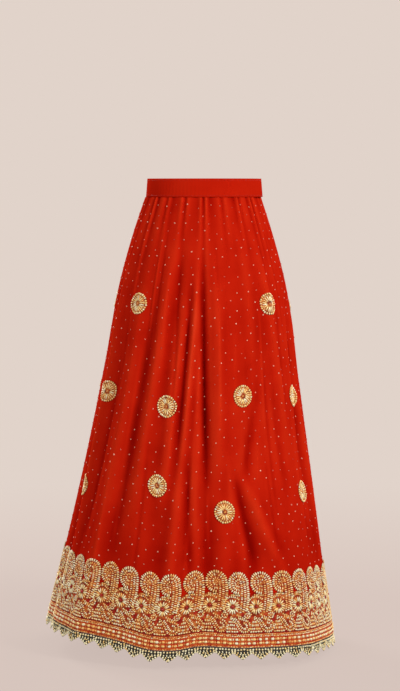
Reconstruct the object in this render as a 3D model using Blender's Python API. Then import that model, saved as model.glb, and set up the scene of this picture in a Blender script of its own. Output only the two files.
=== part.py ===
"""Lehenga skirt: a long A-line skirt gathered into a waistband and filled out as if it were worn.

Twelve gores, six in front and six behind, hang from a waistband, which opens at the wearer's left
over a placket, with two hooks and bars between its overlapping ends. A heavy embroidered border
with a scalloped top lies round the foot of each half, with three of its heads on each gore. Round
embroidered butis lie on the cloth above it, and a pointed lace hangs from the hem.

Metres, +Z up. The front faces -Y and the wearer's left is at +X. The origin is the middle of the
waist, level with the top of the waistband. Angles are in degrees round the skirt, 0 at the centre
front and +90 at the wearer's left. Fall is the share of the way from the waist seam (0) down to
the hem (1).
"""
import math

import bpy
import numpy as np

# Cloth, in metres
CLOTH_WALL = 0.0015
SEAM_GAP = 0.0003
EMBROIDERY_WALL = 0.0010
LACE_WALL = 0.0010

# Waistband
BAND_HEIGHT = 0.040
BAND_WALL = 0.0020
BAND_TOP_EASE = 0.003
BAND_COLUMNS = 76
OVERLAP_START = 72.0
OVERLAP_END = 85.0
OVERLAP_RAMP = 15.0
FASTENER_SPACE = 0.0040

# Lengths down the skirt
WAIST_SEAM = -BAND_HEIGHT - SEAM_GAP
HEM_LEVEL = -0.990
CLOTH_SLANT = 0.965

# Border, butis and lace
REPEATS = 36
COLUMNS_PER_REPEAT = 4
BORDER_MIDDLE = 0.055
BORDER_BODY = 0.108
SCALLOP_VALLEY = 0.116
SCALLOP_SHOULDER = 0.152
SCALLOP_TOP = 0.161
ABOVE_BORDER = 0.007
BUTI_HALF_WIDTH = 0.0222
BUTI_HALF_HEIGHT = 0.0245
BUTI_SIDES = 12
LACE_POINTS = 48
LACE_VALLEY = 0.011
LACE_TIP = 0.025

# Gathers under the waistband
GATHER_DEPTH = 0.0028
GATHER_FALL = 0.22

# Gores in each half, which are each as wide as three heads of the border
GORES = 6

# Placket behind the side opening
PLACKET_COLUMNS = 2
PLACKET_FALL = 0.20
PLACKET_WALL = 0.0010

# Columns of the cloth, counted from the centre front. Every seam falls between two heads of the
# border, so the front half reaches half a repeat further round at the wearer's right.
COLUMNS = REPEATS * COLUMNS_PER_REPEAT
LEFT_SEAM = COLUMNS // 4 - COLUMNS_PER_REPEAT // 2
RIGHT_SEAM = LEFT_SEAM - COLUMNS // 2

# Sections of the skirt, from the waist seam to the hem. Sway is how far the middle of the section
# has swung towards the wearer's right.
SECTIONS = {
    "fall":        (0.00, 0.08, 0.18, 0.40, 0.60, 0.80, 1.00),
    "half_width":  (0.125, 0.151, 0.178, 0.213, 0.245, 0.279, 0.316),
    "front_depth": (0.098, 0.120, 0.144, 0.180, 0.210, 0.242, 0.276),
    "back_depth":  (0.100, 0.132, 0.160, 0.188, 0.214, 0.242, 0.272),
    "sway":        (0.000, 0.000, 0.000, -0.004, -0.010, -0.018, -0.027),
}

# How far the hem is lifted above its level, in millimetres, round the skirt.
HEM_LIFT = {
    "angle":  (-180, -150, -120, -90, -65, -40, -27, -15, -6, 3, 20, 35, 58, 90, 120, 150, 180),
    "lift":   (12, 20, 28, 30, 27, 18, 11, 0, 0, 7, 2, 1, -6, -15, -10, 0, 12),
}

# Folds: where each starts and ends (fall, angle), its half width in degrees and its height in
# millimetres, which is below zero in a trough. One that ends past fall 1 runs out over the hem.
FOLD_COLUMNS = ("start_fall", "start_angle", "end_fall", "end_angle", "half_width", "height")
FOLDS = (
    # centre front
    (0.06, -1.5, 0.72, 4.6, 2.2, -11.0),
    (0.66, 4.4, 0.90, 6.6, 3.2, -6.0),
    (0.12, -3.2, 0.72, -11.5, 2.7, 9.0),
    (0.16, -7.5, 0.70, -12.0, 2.2, -7.0),
    (0.30, -15.5, 0.76, -17.5, 3.0, 6.0),
    (0.58, -9.5, 0.92, -10.5, 3.0, 6.0),
    (0.58, -5.5, 0.88, -1.8, 2.3, -6.0),
    (0.52, -1.8, 0.80, -2.2, 2.4, 4.5),
    (0.64, -19.0, 0.90, -17.5, 5.0, -5.0),
    # wearer's left of the front
    (0.10, 9.0, 0.74, 9.5, 3.8, 8.0),
    (0.28, 17.0, 0.72, 15.5, 9.0, 7.0),
    (0.66, 13.0, 0.92, 14.0, 4.0, 5.0),
    (0.02, 30.0, 0.42, 31.0, 5.0, 7.0),
    (0.42, 34.0, 0.68, 20.5, 3.2, -6.5),
    (0.60, 17.5, 0.86, 29.0, 2.8, -9.0),
    (0.60, 21.5, 0.88, 40.0, 3.4, 8.5),
    (0.40, 46.0, 0.70, 46.5, 3.2, -4.5),
    (0.76, 24.5, 0.91, 26.0, 2.6, -5.0),
    (0.78, 35.0, 0.91, 37.0, 2.6, -4.0),
    (0.04, 43.0, 0.60, 54.0, 4.5, 8.0),
    (0.14, 78.0, 0.76, 64.0, 5.0, -10.0),
    (0.30, 72.0, 0.95, 76.0, 4.0, 7.0),
    # wearer's right of the front
    (0.03, -14.0, 0.50, -24.0, 3.6, -6.0),
    (0.05, -23.0, 0.80, -33.0, 4.2, 8.0),
    (0.16, -32.0, 0.90, -42.0, 3.6, -7.5),
    (0.04, -42.0, 1.30, -53.0, 4.8, 9.0),
    (0.20, -54.0, 0.94, -64.0, 3.8, -8.0),
    (0.05, -63.0, 0.84, -73.0, 4.4, 8.0),
    (0.30, -72.0, 1.30, -80.0, 4.2, -7.0),
    # back
    (0.04, 106.0, 0.86, 104.0, 4.4, 8.5),
    (0.18, 117.0, 1.30, 114.0, 4.0, -8.0),
    (0.05, 127.0, 0.80, 126.0, 4.6, 9.0),
    (0.24, 138.0, 0.94, 136.0, 3.6, -7.0),
    (0.03, 147.0, 1.30, 149.0, 4.8, 9.5),
    (0.20, 158.0, 0.78, 160.0, 3.6, -8.0),
    (0.06, 169.0, 0.90, 171.0, 4.2, 8.0),
    (0.14, 180.0, 0.97, 183.0, 3.8, -9.0),
    (0.05, 191.0, 0.82, 195.0, 4.6, 8.5),
    (0.26, 203.0, 1.30, 207.0, 3.8, -7.5),
    (0.04, 213.0, 0.88, 218.0, 4.6, 9.0),
    (0.22, 224.0, 0.92, 229.0, 3.8, -7.0),
    (0.05, 235.0, 1.30, 240.0, 4.6, 8.0),
    (0.28, 246.0, 0.86, 251.0, 3.8, -7.5),
    (0.08, 256.0, 0.80, 258.0, 4.0, 6.5),
    # slow billows that carry the hem in and out
    (0.62, -12.0, 1.60, -12.0, 9.0, 7.0),
    (0.62, 4.0, 1.60, 4.0, 6.0, -5.0),
    (0.45, 42.0, 1.60, 44.0, 17.0, 24.0),
    (0.70, -36.0, 1.60, -36.0, 8.0, -5.0),
    (0.60, 158.0, 1.60, 160.0, 12.0, 8.0),
    (0.62, 128.0, 1.60, 130.0, 9.0, -6.0),
    (0.60, 222.0, 1.60, 220.0, 12.0, 8.0),
    (0.66, 190.0, 1.60, 190.0, 9.0, -6.0),
)

# Butis: the middle of each, as (angle, fall)
BUTIS = (
    (-46.0, 0.245), (47.0, 0.240), (112.0, 0.250), (160.0, 0.240), (207.0, 0.255), (253.0, 0.245),
    (-18.5, 0.468), (23.75, 0.445), (67.0, 0.450), (114.0, 0.465), (160.0, 0.450), (205.0, 0.460),
    (251.0, 0.450), (296.0, 0.455),
    (-19.75, 0.645), (13.0, 0.703), (62.0, 0.665), (112.0, 0.680), (154.0, 0.655), (192.0, 0.690),
    (232.0, 0.665), (288.0, 0.680),
)

# Hooks and bars in the waistband's overlap: their heights and sizes
FASTENER_HEIGHTS = {"upper": -0.012, "lower": -0.028}
FASTENER_ANGLE = 78.5
BAR_FOOT = 0.0065
BAR_BRIDGE = 0.0040
BAR_WIDTH = 0.0022
HOOK_WIDTH = 0.0055
HOOK_LENGTH = 0.0100
METAL = 0.0006
TONGUE = 0.0005
CLEAR = 0.0003


def smooth_through(places, values, at):
    """A smooth curve through the table's points: cubic Hermite with the mean slope at each."""
    places = np.asarray(places, float)
    values = np.asarray(values, float)
    slopes = np.gradient(values, places)
    i = np.clip(np.searchsorted(places, at) - 1, 0, len(places) - 2)
    step = places[i + 1] - places[i]
    s = (at - places[i]) / step
    return (
        (2 * s**3 - 3 * s**2 + 1) * values[i]
        + (s**3 - 2 * s**2 + s) * step * slopes[i]
        + (3 * s**2 - 2 * s**3) * values[i + 1]
        + (s**3 - s**2) * step * slopes[i + 1]
    )


def ease(share):
    """0 below 0, 1 above 1, and a smooth step between them."""
    share = np.clip(share, 0, 1)
    return share * share * (3 - 2 * share)


def wrapped(angle):
    """The angle in -180 to 180 degrees."""
    return (angle + 180.0) % 360.0 - 180.0


def fold_height(angle, fall):
    """How far the folds push the cloth out, in metres: each is a bell across and fades at its ends."""
    out = np.zeros(np.broadcast(angle, fall).shape)
    for row in FOLDS:
        fold = dict(zip(FOLD_COLUMNS, row))
        length = fold["end_fall"] - fold["start_fall"]
        along = (fall - fold["start_fall"]) / length
        middle = fold["start_angle"] + (fold["end_angle"] - fold["start_angle"]) * along
        across = wrapped(angle - middle) / fold["half_width"]
        fade = ease(along / 0.35) * ease((1 - along) / 0.35)
        out += 0.001 * fold["height"] * fade * np.exp(-across * across)
    return out


def plain_point(angle, fall, out):
    """The A-line form with no gathers: a point at an angle and a fall, pushed out level."""
    turn = np.radians(angle)
    fall_in = np.clip(fall, 0, 1)
    wide = smooth_through(SECTIONS["fall"], SECTIONS["half_width"], fall_in)
    front = smooth_through(SECTIONS["fall"], SECTIONS["front_depth"], fall_in)
    back = smooth_through(SECTIONS["fall"], SECTIONS["back_depth"], fall_in)
    sway = smooth_through(SECTIONS["fall"], SECTIONS["sway"], fall_in)
    deep = np.where(np.cos(turn) > 0, front, back)
    lift = 0.001 * smooth_through(HEM_LIFT["angle"], HEM_LIFT["lift"], wrapped(angle))
    away = np.stack([np.sin(turn) / wide, -np.cos(turn) / deep], -1)
    away /= np.linalg.norm(away, axis=-1, keepdims=True)
    x = sway + wide * np.sin(turn) + out * away[..., 0]
    y = -deep * np.cos(turn) + out * away[..., 1]
    z = WAIST_SEAM + fall * (HEM_LEVEL + lift - WAIST_SEAM)
    return np.stack([x, y, z], -1)


def angles_round_hem():
    """The angle of each column from one back edge to the other: even steps along the hem."""
    angle = np.linspace(0.0, 360.0, 3601)
    hem = plain_point(angle, np.ones_like(angle), fold_height(angle, np.ones_like(angle)))
    length = np.concatenate([[0], np.cumsum(np.linalg.norm(np.diff(hem, axis=0), axis=1))])
    turn = np.interp(np.arange(COLUMNS + 1) / COLUMNS * length[-1], length, angle)
    return np.concatenate([turn[RIGHT_SEAM - 1:-1] - 360.0, turn[:RIGHT_SEAM]])


COLUMN_ANGLES = angles_round_hem()
COLUMN_NUMBERS = np.arange(RIGHT_SEAM, RIGHT_SEAM + COLUMNS + 1)


def angle_of(column):
    return np.interp(column, COLUMN_NUMBERS, COLUMN_ANGLES)


def column_of(angle):
    """The place of an angle in the count of columns."""
    first = COLUMN_ANGLES[0]
    return np.interp((angle - first) % 360.0 + first, COLUMN_ANGLES, COLUMN_NUMBERS)


def skirt_point(angle, fall):
    """The outer face of the cloth: the A-line form with its folds, and its gathers at the waist."""
    waves = np.cos(2 * np.pi * column_of(angle) / COLUMNS_PER_REPEAT)
    gathers = -GATHER_DEPTH * waves * np.clip(1 - fall / GATHER_FALL, 0, 1) ** 2
    return plain_point(angle, fall, fold_height(angle, fall) + gathers)


def outward(angle, fall):
    """The unit normal of the cloth's outer face, from two small steps across it."""
    across = skirt_point(angle + 0.4, fall) - skirt_point(angle - 0.4, fall)
    down = skirt_point(angle, fall + 0.004) - skirt_point(angle, fall - 0.004)
    normal = np.cross(down, across)
    return normal / np.linalg.norm(normal, axis=-1, keepdims=True)


def fall_above_hem(height):
    """The fall at a height above the hem, measured down the cloth."""
    return 1 - height / CLOTH_SLANT


BORDER_ROWS = tuple(fall_above_hem(height) for height in (BORDER_BODY, BORDER_MIDDLE, 0.0))
UPPER_ROWS = (0.0, 0.05, 0.12, PLACKET_FALL, 0.31, 0.42, 0.53, 0.64, 0.74)
CLOTH_ROWS = np.array(UPPER_ROWS + (fall_above_hem(SCALLOP_TOP + ABOVE_BORDER),) + BORDER_ROWS)


def cloth_grid(columns, rows):
    """Outer points and normals of the cloth, one row of the grid for each fall."""
    fall, angle = np.meshgrid(rows, angle_of(columns), indexing="ij")
    return skirt_point(angle, fall), outward(angle, fall)


FRONT = np.arange(RIGHT_SEAM, LEFT_SEAM + 1)
BACK = np.arange(LEFT_SEAM, RIGHT_SEAM + COLUMNS + 1)


def part_at_seams(points, columns):
    """Moves the first and last columns back from their seams, round the form, by half the gap."""
    points = points.copy()
    seams = angle_of(columns[[0, -1]])
    ahead = plain_point(seams + 0.5, np.ones(2), 0.0) - plain_point(seams - 0.5, np.ones(2), 0.0)
    ahead *= SEAM_GAP / 2 / np.linalg.norm(ahead, axis=1, keepdims=True)
    points[:, 0] += ahead[0]
    points[:, -1] -= ahead[1]
    return points


def make_material(name, colour, roughness, metallic=0.0):
    material = bpy.data.materials.new(name)
    material.use_nodes = True
    shader = material.node_tree.nodes["Principled BSDF"]
    shader.inputs["Base Color"].default_value = (*colour, 1.0)
    shader.inputs["Roughness"].default_value = roughness
    shader.inputs["Metallic"].default_value = metallic
    return material


def add_object(name, mesh, material, collection):
    mesh.materials.append(material)
    piece = bpy.data.objects.new(name, mesh)
    collection.objects.link(piece)
    return piece


def slab(name, outer, inner, faces, material, collection):
    """A closed wall: the outer faces, the same faces turned round on the inner points, and a rim.

    Each cell of the rim is split from its first outer corner, so two walls split a seam alike.
    """
    count = len(outer)
    edges = {(f[i], f[(i + 1) % len(f)]) for f in faces for i in range(len(f))}
    rim = [(b, a) for a, b in edges if (b, a) not in edges]
    walls = list(faces)
    walls += [[count + i for i in [f[0], *reversed(f[1:])]] for f in faces]
    for a, b in sorted(rim):
        low, high = min(a, b), max(a, b)
        walls += [[a, b, count + high], [low, count + b, count + a]]
    mesh = bpy.data.meshes.new(name)
    mesh.from_pydata(np.vstack([outer, inner]).tolist(), [], walls)
    mesh.shade_smooth()
    mesh.set_sharp_from_angle(angle=math.radians(40))
    return add_object(name, mesh, material, collection)


def cell_triangles(r, c):
    """The two triangles of a grid cell, which is always split from its upper left corner."""
    return ((r, c), (r + 1, c), (r + 1, c + 1)), ((r, c), (r + 1, c + 1), (r, c + 1))


def grid_faces(rows, columns):
    """The triangles of a grid whose points run along each row, with their outer side towards us."""
    cells = [(r, c) for r in range(rows - 1) for c in range(columns - 1)]
    return [[i * columns + j for i, j in triangle] for cell in cells for triangle in cell_triangles(*cell)]


def grid_slab(name, outer, inner, material, collection):
    faces = grid_faces(*outer.shape[:2])
    return slab(name, outer.reshape(-1, 3), inner.reshape(-1, 3), faces, material, collection)


def gore(name, columns, material, collection):
    """A gore of the skirt, cut on the A-line and gathered at the top."""
    outer, normal = cloth_grid(columns, CLOTH_ROWS)
    inner = part_at_seams(outer - normal * CLOTH_WALL, columns)
    return grid_slab(name, part_at_seams(outer, columns), inner, material, collection)


def clip(polygon, start, end):
    """The part of a flat convex polygon on the left of the line from start to end."""
    start = np.array(start)
    way = np.array(end) - start
    sides = [way[0] * (p[1] - start[1]) - way[1] * (p[0] - start[0]) for p in polygon]
    kept = []
    for i, corner in enumerate(polygon):
        before = polygon[i - 1]
        if sides[i] * sides[i - 1] < 0:
            share = sides[i - 1] / (sides[i - 1] - sides[i])
            kept.append(before + share * (corner - before))
        if sides[i] >= 0:
            kept.append(corner)
    return kept


def cut_from_cloth(name, half, cells, lines_of, material, collection):
    """An embroidered patch on a half: the cloth's own triangles, cut to an outline and moved out.

    The cutting is done flat, with the column across and the fall downwards, and each point of the
    patch is then carried to its place on the cloth's triangle.
    """
    points, normals = cloth_grid(half, CLOTH_ROWS)
    points = part_at_seams(points, half)
    index, inner, outer, faces = {}, [], [], []
    for r, c in cells:
        for triangle in cell_triangles(r, c):
            corners = np.array([(half[j], -CLOTH_ROWS[i]) for i, j in triangle])
            piece = list(corners)
            for start, end in lines_of(c):
                piece = clip(piece, start, end)
            face = []
            for spot in piece:
                key = (round(spot[0], 4), round(spot[1], 6))
                if key not in index:
                    share = np.linalg.solve(np.vstack([corners.T, np.ones(3)]), [*spot, 1.0])
                    place = sum(w * points[i, j] for w, (i, j) in zip(share, triangle))
                    away = sum(w * normals[i, j] for w, (i, j) in zip(share, triangle))
                    index[key] = len(inner)
                    inner.append(place + away * SEAM_GAP)
                    outer.append(place + away * (SEAM_GAP + EMBROIDERY_WALL))
                if index[key] not in face:
                    face.append(index[key])
            if len(face) > 2:
                faces.append(face)
    return slab(name, np.array(outer), np.array(inner), faces, material, collection)


def scallop_fall(column):
    """The fall of the border's top at a column: one round head for each repeat."""
    heights = (SCALLOP_TOP, SCALLOP_SHOULDER, SCALLOP_VALLEY, SCALLOP_SHOULDER)
    return fall_above_hem(heights[column % COLUMNS_PER_REPEAT])


def border(name, half, material, collection):
    """The embroidered border: whole cells of the cloth, with the top ones cut to the scallops."""
    body = len(CLOTH_ROWS) - len(BORDER_ROWS)
    cells = [(r, c) for r in range(body - 1, len(CLOTH_ROWS) - 1) for c in range(len(half) - 1)]

    def lines_of(c):
        left, right = int(half[c]), int(half[c + 1])
        return [((right, -scallop_fall(right)), (left, -scallop_fall(left)))]

    return cut_from_cloth(name, half, cells, lines_of, material, collection)


def lace(name, half, material, collection):
    """The pointed lace below the hem: a valley and a tip in turn, in line with the cloth."""
    angle = angle_of(np.linspace(half[0], half[-1], LACE_POINTS + 1))
    hem = skirt_point(angle, np.ones_like(angle))
    down = hem - skirt_point(angle, np.full_like(angle, 0.97))
    down /= np.linalg.norm(down, axis=1, keepdims=True)
    normal = outward(angle, np.full_like(angle, 0.99))
    depth = np.where(np.arange(len(angle)) % 2 == 0, LACE_VALLEY, LACE_TIP)[:, None]
    outer = np.stack([hem + down * SEAM_GAP, hem + down * depth])
    inner = part_at_seams(outer - normal * LACE_WALL, half)
    return grid_slab(name, part_at_seams(outer, half), inner, material, collection)


def buti(name, angle, fall, material, collection):
    """An embroidered buti, a little taller than wide: the cloth's cells under it, cut to an oval."""
    middle = column_of(angle)
    half = FRONT if middle < LEFT_SEAM else BACK
    flat = plain_point(np.array([angle - 0.5, angle + 0.5]), np.array([fall, fall]), 0.0)
    degree = np.linalg.norm(flat[1] - flat[0])
    steep = plain_point(np.array([angle, angle]), np.array([fall - 0.01, fall + 0.01]), 0.0)
    slant = np.linalg.norm(steep[1] - steep[0]) / 0.02
    across = BUTI_HALF_WIDTH / degree * (column_of(angle + 0.5) - column_of(angle - 0.5))
    down = BUTI_HALF_HEIGHT / slant
    turns = np.linspace(0, 2 * np.pi, BUTI_SIDES + 1)
    oval = np.stack([middle + across * np.cos(turns), -fall + down * np.sin(turns)], -1)
    lines = list(zip(oval, oval[1:]))
    columns = range(int(middle - across) - half[0], int(middle + across) + 1 - half[0])
    above, below = CLOTH_ROWS[:-1], CLOTH_ROWS[1:]
    rows = np.flatnonzero((above < fall + down) & (below > fall - down))
    cells = [(r, c) for r in rows for c in columns]
    return cut_from_cloth(name, half, cells, lambda c: lines, material, collection)


def band_point(angle, share_up, out):
    """The waistband's outer face: the waist's ellipse, a little smaller at the top."""
    turn = np.radians(angle)
    wide = SECTIONS["half_width"][0] - BAND_TOP_EASE * share_up + out
    depth = np.where(np.cos(turn) > 0, SECTIONS["front_depth"][0], SECTIONS["back_depth"][0])
    deep = depth - BAND_TOP_EASE * share_up + out
    height = -BAND_HEIGHT * (1 - share_up) + 0 * turn
    return np.stack([wide * np.sin(turn), -deep * np.cos(turn), height], -1)


def overlap_rise(angle):
    """How far the band stands out: it climbs over its own first end at the wearer's left."""
    full = BAND_WALL + FASTENER_SPACE
    first = 360.0 + OVERLAP_START - OVERLAP_RAMP
    return full * ease((angle - first) / (OVERLAP_RAMP - 2.0))


def waistband(material, collection):
    """One long strip: it starts under the overlap, runs round the back and front, and ends over it."""
    angle = np.linspace(OVERLAP_START, 360.0 + OVERLAP_END, BAND_COLUMNS + 3)
    rise = overlap_rise(angle)
    outer = np.stack([band_point(angle, share_up, rise) for share_up in (1.0, 0.0)])
    inner = np.stack([band_point(angle, share_up, rise - BAND_WALL) for share_up in (1.0, 0.0)])
    return grid_slab("waistband", outer, inner, material, collection)


def placket(material, collection):
    """The strip behind the side opening, made from the cloth's points and moved in."""
    columns = np.arange(LEFT_SEAM - PLACKET_COLUMNS, LEFT_SEAM + PLACKET_COLUMNS + 1)
    rows = CLOTH_ROWS[CLOTH_ROWS <= PLACKET_FALL]
    points, normals = cloth_grid(columns, rows)
    outer = points - normals * (CLOTH_WALL + SEAM_GAP)
    inner = outer - normals * PLACKET_WALL
    return grid_slab("placket", outer, inner, material, collection)


def profile_plate(name, profile, width, across, along, out, middle, material, collection):
    """A flat profile of (along, out) points, made into a plate of a width across it."""
    places = np.array([middle + a * along + o * out for a, o in profile])
    near = places - across * width / 2
    far = places + across * width / 2
    return slab(name, far, near, [list(range(len(profile)))], material, collection)


def bar_profile():
    """A strip with two flat feet and a raised bridge between them, as (along, out) points."""
    low, high = 2 * CLEAR, 4 * CLEAR + METAL
    side = [(BAR_FOOT, low), (BAR_BRIDGE, low), (BAR_BRIDGE - METAL, high)]
    top = [(a - METAL / 2 if o == high else a + METAL / 2, o + METAL) for a, o in side[1:]]
    top.append((BAR_FOOT, low + METAL))
    outline = [(-a, o) for a, o in side] + [(a, o) for a, o in reversed(side)]
    return outline + [top[2], top[0], top[1]] + [(-a, o) for a, o in (top[1], top[0], top[2])]


def hook_profile():
    """A plate that turns back under the bar as a tongue, as (along, out) points."""
    tongue = 2 * CLEAR - CLEAR / 2
    plate = FASTENER_SPACE - 2 * CLEAR - METAL
    end, bend = HOOK_LENGTH / 2, -BAR_WIDTH / 2 - 2 * CLEAR
    return [
        (end, tongue), (end, tongue + TONGUE), (bend, tongue + TONGUE), (bend, plate),
        (end, plate), (end, plate + METAL), (bend - METAL, plate + METAL), (bend - METAL, tongue),
    ]


def fasteners(material, collection):
    """A bar on the band's inner end and a hook on the overlap, at each height."""
    ends = band_point(np.array([FASTENER_ANGLE - 2.0, FASTENER_ANGLE + 2.0]), 0.5, 0.0)
    along = (ends[1] - ends[0]) / np.linalg.norm(ends[1] - ends[0])
    up = np.array([0.0, 0.0, 1.0])
    out = np.cross(along, up)
    for which, height in FASTENER_HEIGHTS.items():
        middle = band_point(np.array(FASTENER_ANGLE), 1 + height / BAND_HEIGHT, 0.0)
        bar = (f"waist_bar_{which}", bar_profile(), BAR_WIDTH, along, up)
        hook = (f"waist_hook_{which}", hook_profile(), HOOK_WIDTH, -up, along)
        for name, profile, width, across, run in (bar, hook):
            profile_plate(name, profile, width, across, run, out, middle, material, collection)


def main():
    for old in list(bpy.data.objects):
        bpy.data.objects.remove(old, do_unlink=True)
    collection = bpy.data.collections.new("lehenga_skirt")
    bpy.context.scene.collection.children.link(collection)
    cloth = make_material("red_georgette", (0.56, 0.008, 0.002), 0.62)
    gold = make_material("gold_embroidery", (0.62, 0.36, 0.14), 0.42, 0.35)
    net = make_material("beaded_lace", (0.40, 0.30, 0.17), 0.60, 0.10)
    metal = make_material("nickel_hooks", (0.60, 0.58, 0.55), 0.30, 1.0)
    waistband(cloth, collection)
    placket(cloth, collection)
    fasteners(metal, collection)
    width = COLUMNS // 2 // GORES
    for side, half in (("front", FRONT), ("back", BACK)):
        for number in range(GORES):
            columns = half[number * width:(number + 1) * width + 1]
            gore(f"{side}_gore_{number + 1}", columns, cloth, collection)
        border(f"{side}_border", half, gold, collection)
        lace(f"{side}_lace", half, net, collection)
    for number, (angle, fall) in enumerate(BUTIS, start=1):
        buti(f"buti_{number:02d}", angle, fall, gold, collection)


main()
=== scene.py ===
# %% [markdown]
# # A red lehenga skirt
#
# A lehenga is a long flared skirt. This one is thin red georgette gathered into a waistband, with
# a heavy beaded border round its foot, round butis and sequins on the cloth, and a beaded net lace
# below the hem. The frame holds it as plain solids. This script dresses them: every soft solid is
# replaced by a thin, creased sheet with its beads on it, and each finish is made of shader nodes.

import math

import bpy
import numpy as np
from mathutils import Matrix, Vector


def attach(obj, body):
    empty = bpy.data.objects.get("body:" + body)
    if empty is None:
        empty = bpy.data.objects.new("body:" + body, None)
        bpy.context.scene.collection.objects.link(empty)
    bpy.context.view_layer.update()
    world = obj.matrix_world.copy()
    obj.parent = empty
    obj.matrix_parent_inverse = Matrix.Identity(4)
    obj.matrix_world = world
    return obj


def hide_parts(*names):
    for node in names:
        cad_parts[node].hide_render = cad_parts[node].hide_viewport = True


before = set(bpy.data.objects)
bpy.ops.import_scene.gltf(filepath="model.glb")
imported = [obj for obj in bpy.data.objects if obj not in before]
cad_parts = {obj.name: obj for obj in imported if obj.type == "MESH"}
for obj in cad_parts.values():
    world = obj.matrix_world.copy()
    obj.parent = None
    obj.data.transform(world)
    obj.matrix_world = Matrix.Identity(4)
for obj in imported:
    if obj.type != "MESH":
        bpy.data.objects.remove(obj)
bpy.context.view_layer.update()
MM = 0.001

# %% [markdown]
# ## The form of the skirt
#
# The sheets could be simulated, but a simulation forgets the pleats that a wearer or a shop has
# set by hand. The form is worked out instead, from the same sizes as the solids: an ellipse for
# each level, a table of folds that push the cloth in or out, and gathers under the waistband.
# A point on the cloth has an angle (0 at the centre front, +90 at the wearer's left) and a fall
# (0 at the waist seam, 1 at the hem).

# %% Sizes in metres, and the tables of the form
BAND_HEIGHT = 0.040
SEAM_GAP = 0.0003
WAIST_SEAM = -BAND_HEIGHT - SEAM_GAP
HEM_LEVEL = -0.990
CLOTH_SLANT = 0.965
REPEATS = 36
COLUMNS_PER_REPEAT = 4
COLUMNS = REPEATS * COLUMNS_PER_REPEAT
LEFT_SEAM = COLUMNS // 4 - COLUMNS_PER_REPEAT // 2
RIGHT_SEAM = LEFT_SEAM - COLUMNS // 2
GATHER_DEPTH = 0.0028
GATHER_FALL = 0.22

SECTIONS = {
    "fall":        (0.00, 0.08, 0.18, 0.40, 0.60, 0.80, 1.00),
    "half_width":  (0.125, 0.151, 0.178, 0.213, 0.245, 0.279, 0.316),
    "front_depth": (0.098, 0.120, 0.144, 0.180, 0.210, 0.242, 0.276),
    "back_depth":  (0.100, 0.132, 0.160, 0.188, 0.214, 0.242, 0.272),
    "sway":        (0.000, 0.000, 0.000, -0.004, -0.010, -0.018, -0.027),
}
HEM_LIFT = {
    "angle":  (-180, -150, -120, -90, -65, -40, -27, -15, -6, 3, 20, 35, 58, 90, 120, 150, 180),
    "lift":   (12, 20, 28, 30, 27, 18, 11, 0, 0, 7, 2, 1, -6, -15, -10, 0, 12),
}
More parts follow.
